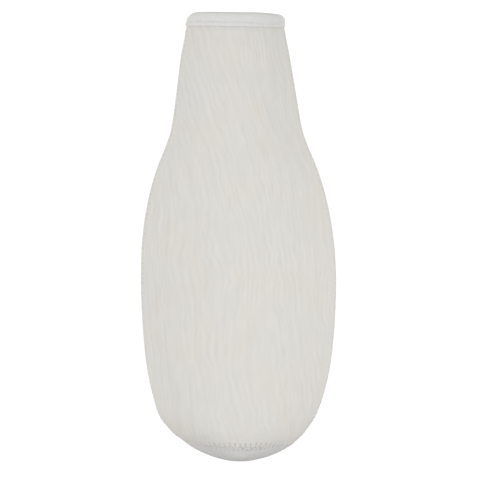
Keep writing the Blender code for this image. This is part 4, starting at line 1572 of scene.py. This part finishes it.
def coil_plane(hand):
    """So that the coil would keep its width: a plane across it at the foot of the zipper, and the share of its distance
    from that plane which the top of the coil would keep so as to move as far as the lapel's edge at KEEP.
    """
    normal = unit(np.array([0.93, -0.24, 0.4]))
    normal[0] *= -hand
    low, high = on_zipper(hand * 1.3, COIL_LOW + 1.0, 0.7), on_zipper(hand * 1.3, 190.0, 0.7)
    n, p = lapel_plane(hand)
    wanted = (1 - KEEP) * np.dot(high - p, n)
    anchor = low
    keep = 1 - wanted / np.dot(high - anchor, normal)
    return normal, anchor, float(keep)


def to_lapel(piece, hand):
    normal, anchor = lapel_plane(hand)
    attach(piece, "sleeve")
    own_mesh(piece)


def divide(piece, hand, nodes):
    plane = lapel_plane(hand)
    name = piece.name
    lapel, fixed = cut_up(piece, [plane], [(f"{name}_lapel", beyond(plane)), (f"{name}_fixed", lambda place: True)])
    for part in (fixed, lapel):
        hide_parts(*nodes)
    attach(fixed, "sleeve")
    to_lapel(lapel, hand)
    return fixed, lapel


def divide_coil(piece, hand, nodes):
    normal, anchor, keep = coil_plane(hand)
    name = piece.name
    lapel, fixed = cut_up(
        piece, [(normal, anchor)], [(f"{name}_lapel", beyond((normal, anchor))), (f"{name}_fixed", lambda place: True)]
    )
    for part in (fixed, lapel):
        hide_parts(*nodes)
        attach(part, "sleeve")
    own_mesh(lapel)


for hand, side in ((-1, "left"), (1, "right")):
    divide(make_back(hand), hand, [f"back_panel_{side}"])
    divide(make_tape(hand), hand, [f"zipper_tape_{side}"])
    divide(make_topstitch(hand), hand, [f"zipper_topstitch_{side}"])
    divide_coil(make_coil(hand), hand, [f"zipper_coil_{side}"])
    divide_coil(make_coil_thread(hand), hand, [f"zipper_coil_{side}"])
    u = sorted((hand * 0.62, hand * 2.2))
    stop = soft_box(f"top_stop_{side}", u, (190.3, 192.2), (0.25, 1.5), LOOKS["nickel"], grooves=((191.25, 0.15),))
    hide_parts(f"zipper_top_stop_{side}")
    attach(stop, "sleeve")
    normal, anchor, keep = coil_plane(hand)
    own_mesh(stop)

# The ends of the binding and their stitches go with the lapels.
left_plane, right_plane = lapel_plane(-1), lapel_plane(1)
beyond_left, beyond_right = beyond(left_plane), beyond(right_plane)
for whole, cad_node, slot in (
    (make_binding(), "neck_binding", "binding_cloth"),
    (make_binding_thread(), "binding_thread", "thread"),
):
    name = whole.name
    left, right, rest = cut_up(whole, [left_plane, right_plane, ((0, 1, 0), (0, 0, 0))], [
        (f"{name}_left", lambda place: place.y > 0 and place.x < 0 and beyond_left(place)),
        (f"{name}_right", lambda place: place.y > 0 and place.x > 0 and beyond_right(place)),
        (f"{name}_front", lambda place: True),
    ])
    for part in (left, right, rest):
        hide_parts(cad_node)
    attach(rest, "sleeve")
    to_lapel(left, -1)
    to_lapel(right, 1)

bottom_stop = soft_box("bottom_stop", (-2.4, 2.4), (28.6, 31.5), (0.25, 1.6), LOOKS["nickel"], grooves=((29.5, 0.18), (30.6, 0.18)))
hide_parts("zipper_bottom_stop")
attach(bottom_stop, "sleeve")
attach(make_slider(), "slider")
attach(make_pull(), "pull_tab")


# ---- studio ----


def look_at(obj, place, target):
    obj.location = place
    obj.rotation_euler = (Vector(target) - Vector(place)).to_track_quat("-Z", "Y").to_euler()


def softbox(name, place, target, size, power, colour=(1, 1, 1)):
    lamp = bpy.data.lights.new(name, "AREA")
    lamp.shape = "RECTANGLE"
    lamp.size, lamp.size_y = size
    lamp.energy = power
    lamp.color = colour
    obj = bpy.data.objects.new(name, lamp)
    SCENE.collection.objects.link(obj)
    look_at(obj, place, target)
    obj.visible_camera = False
    return obj


# Softboxes stand low on both sides of the camera, and the white table throws most of the other light back up.
softbox("front_left", (-0.62, -0.43, 0.1), (0, 0, 0.08), (0.36, 0.14), 1.93)
softbox("front_right", (0.34, -0.28, 0.07), (0, 0, 0.07), (0.2, 0.1), 0.65)
softbox("above", (0.0, -0.1, 1.2), (0, 0, 0.15), (0.8, 0.6), 1.5)
softbox("back_left", (-0.4, 0.98, 0.4), (0, 0, 0.1), (0.7, 0.6), 4.2)
softbox("back_right", (0.62, 1.1, 0.35), (0, 0, 0.1), (0.7, 0.6), 3.7)

world = bpy.data.worlds.new("studio")
SCENE.world = world
world.use_nodes = True
sky = world.node_tree
back = sky.nodes["Background"]
back.inputs["Color"].default_value = (1, 1, 1, 1)
seen = node(sky, "ShaderNodeLightPath").outputs["Is Camera Ray"]
sky.links.new(sums(sky, "ADD", 0.52, sums(sky, "MULTIPLY", seen, 0.56)), back.inputs["Strength"])

bpy.ops.mesh.primitive_plane_add(size=60.0, location=(0, 0, -0.00006))
floor = bpy.context.object
floor.name = "floor"
paper = bpy.data.materials.new("floor paper")
paper.use_nodes = True
tree = paper.node_tree
tree.nodes.remove(tree.nodes["Principled BSDF"])
at = node(tree, "ShaderNodeTexCoord").outputs["Object"]
speck = node(tree, "ShaderNodeTexNoise", {"Vector": at, "Scale": 3.0, "Detail": 2.0}).outputs[0]
tone = tinted(tree, (0.15, 0.15, 0.15), sums(tree, "ADD", 0.99, sums(tree, "MULTIPLY", speck, 0.02)))
matt = node(tree, "ShaderNodeBsdfDiffuse", {"Color": tone})
lit = sums(tree, "ADD", 0.45, sums(tree, "MULTIPLY", node(tree, "ShaderNodeLightPath").outputs["Is Camera Ray"], 0.52))
lift = node(tree, "ShaderNodeEmission", {"Color": (1, 1, 1, 1), "Strength": lit})
both = node(tree, "ShaderNodeAddShader", {0: matt.outputs[0], 1: lift.outputs[0]})
tree.links.new(both.outputs[0], tree.nodes["Material Output"].inputs["Surface"])
floor.data.materials.append(paper)

SCENE.view_settings.view_transform = "Standard"
SCENE.view_settings.look = "None"
SCENE.view_settings.exposure = 0.0
SCENE.view_settings.gamma = 1.0

# One pixel of the picture, 478 wide, is 0.4452 mm at the sleeve's middle.
PIXEL = 0.4452 * MM
AWAY = 6.0
camera = bpy.data.cameras.new("camera")
camera.sensor_width = 36.0
camera.lens = 36.0 * AWAY / (478 * PIXEL)
camera.clip_start, camera.clip_end = 0.1, 100.0
view = bpy.data.objects.new("camera", camera)
SCENE.collection.objects.link(view)
level = (461.0 - 239.0) * PIXEL
view.location = ((239.0 - 238.0) * PIXEL, -AWAY, level)
view.rotation_euler = (math.pi / 2, 0, 0)
SCENE.camera = view
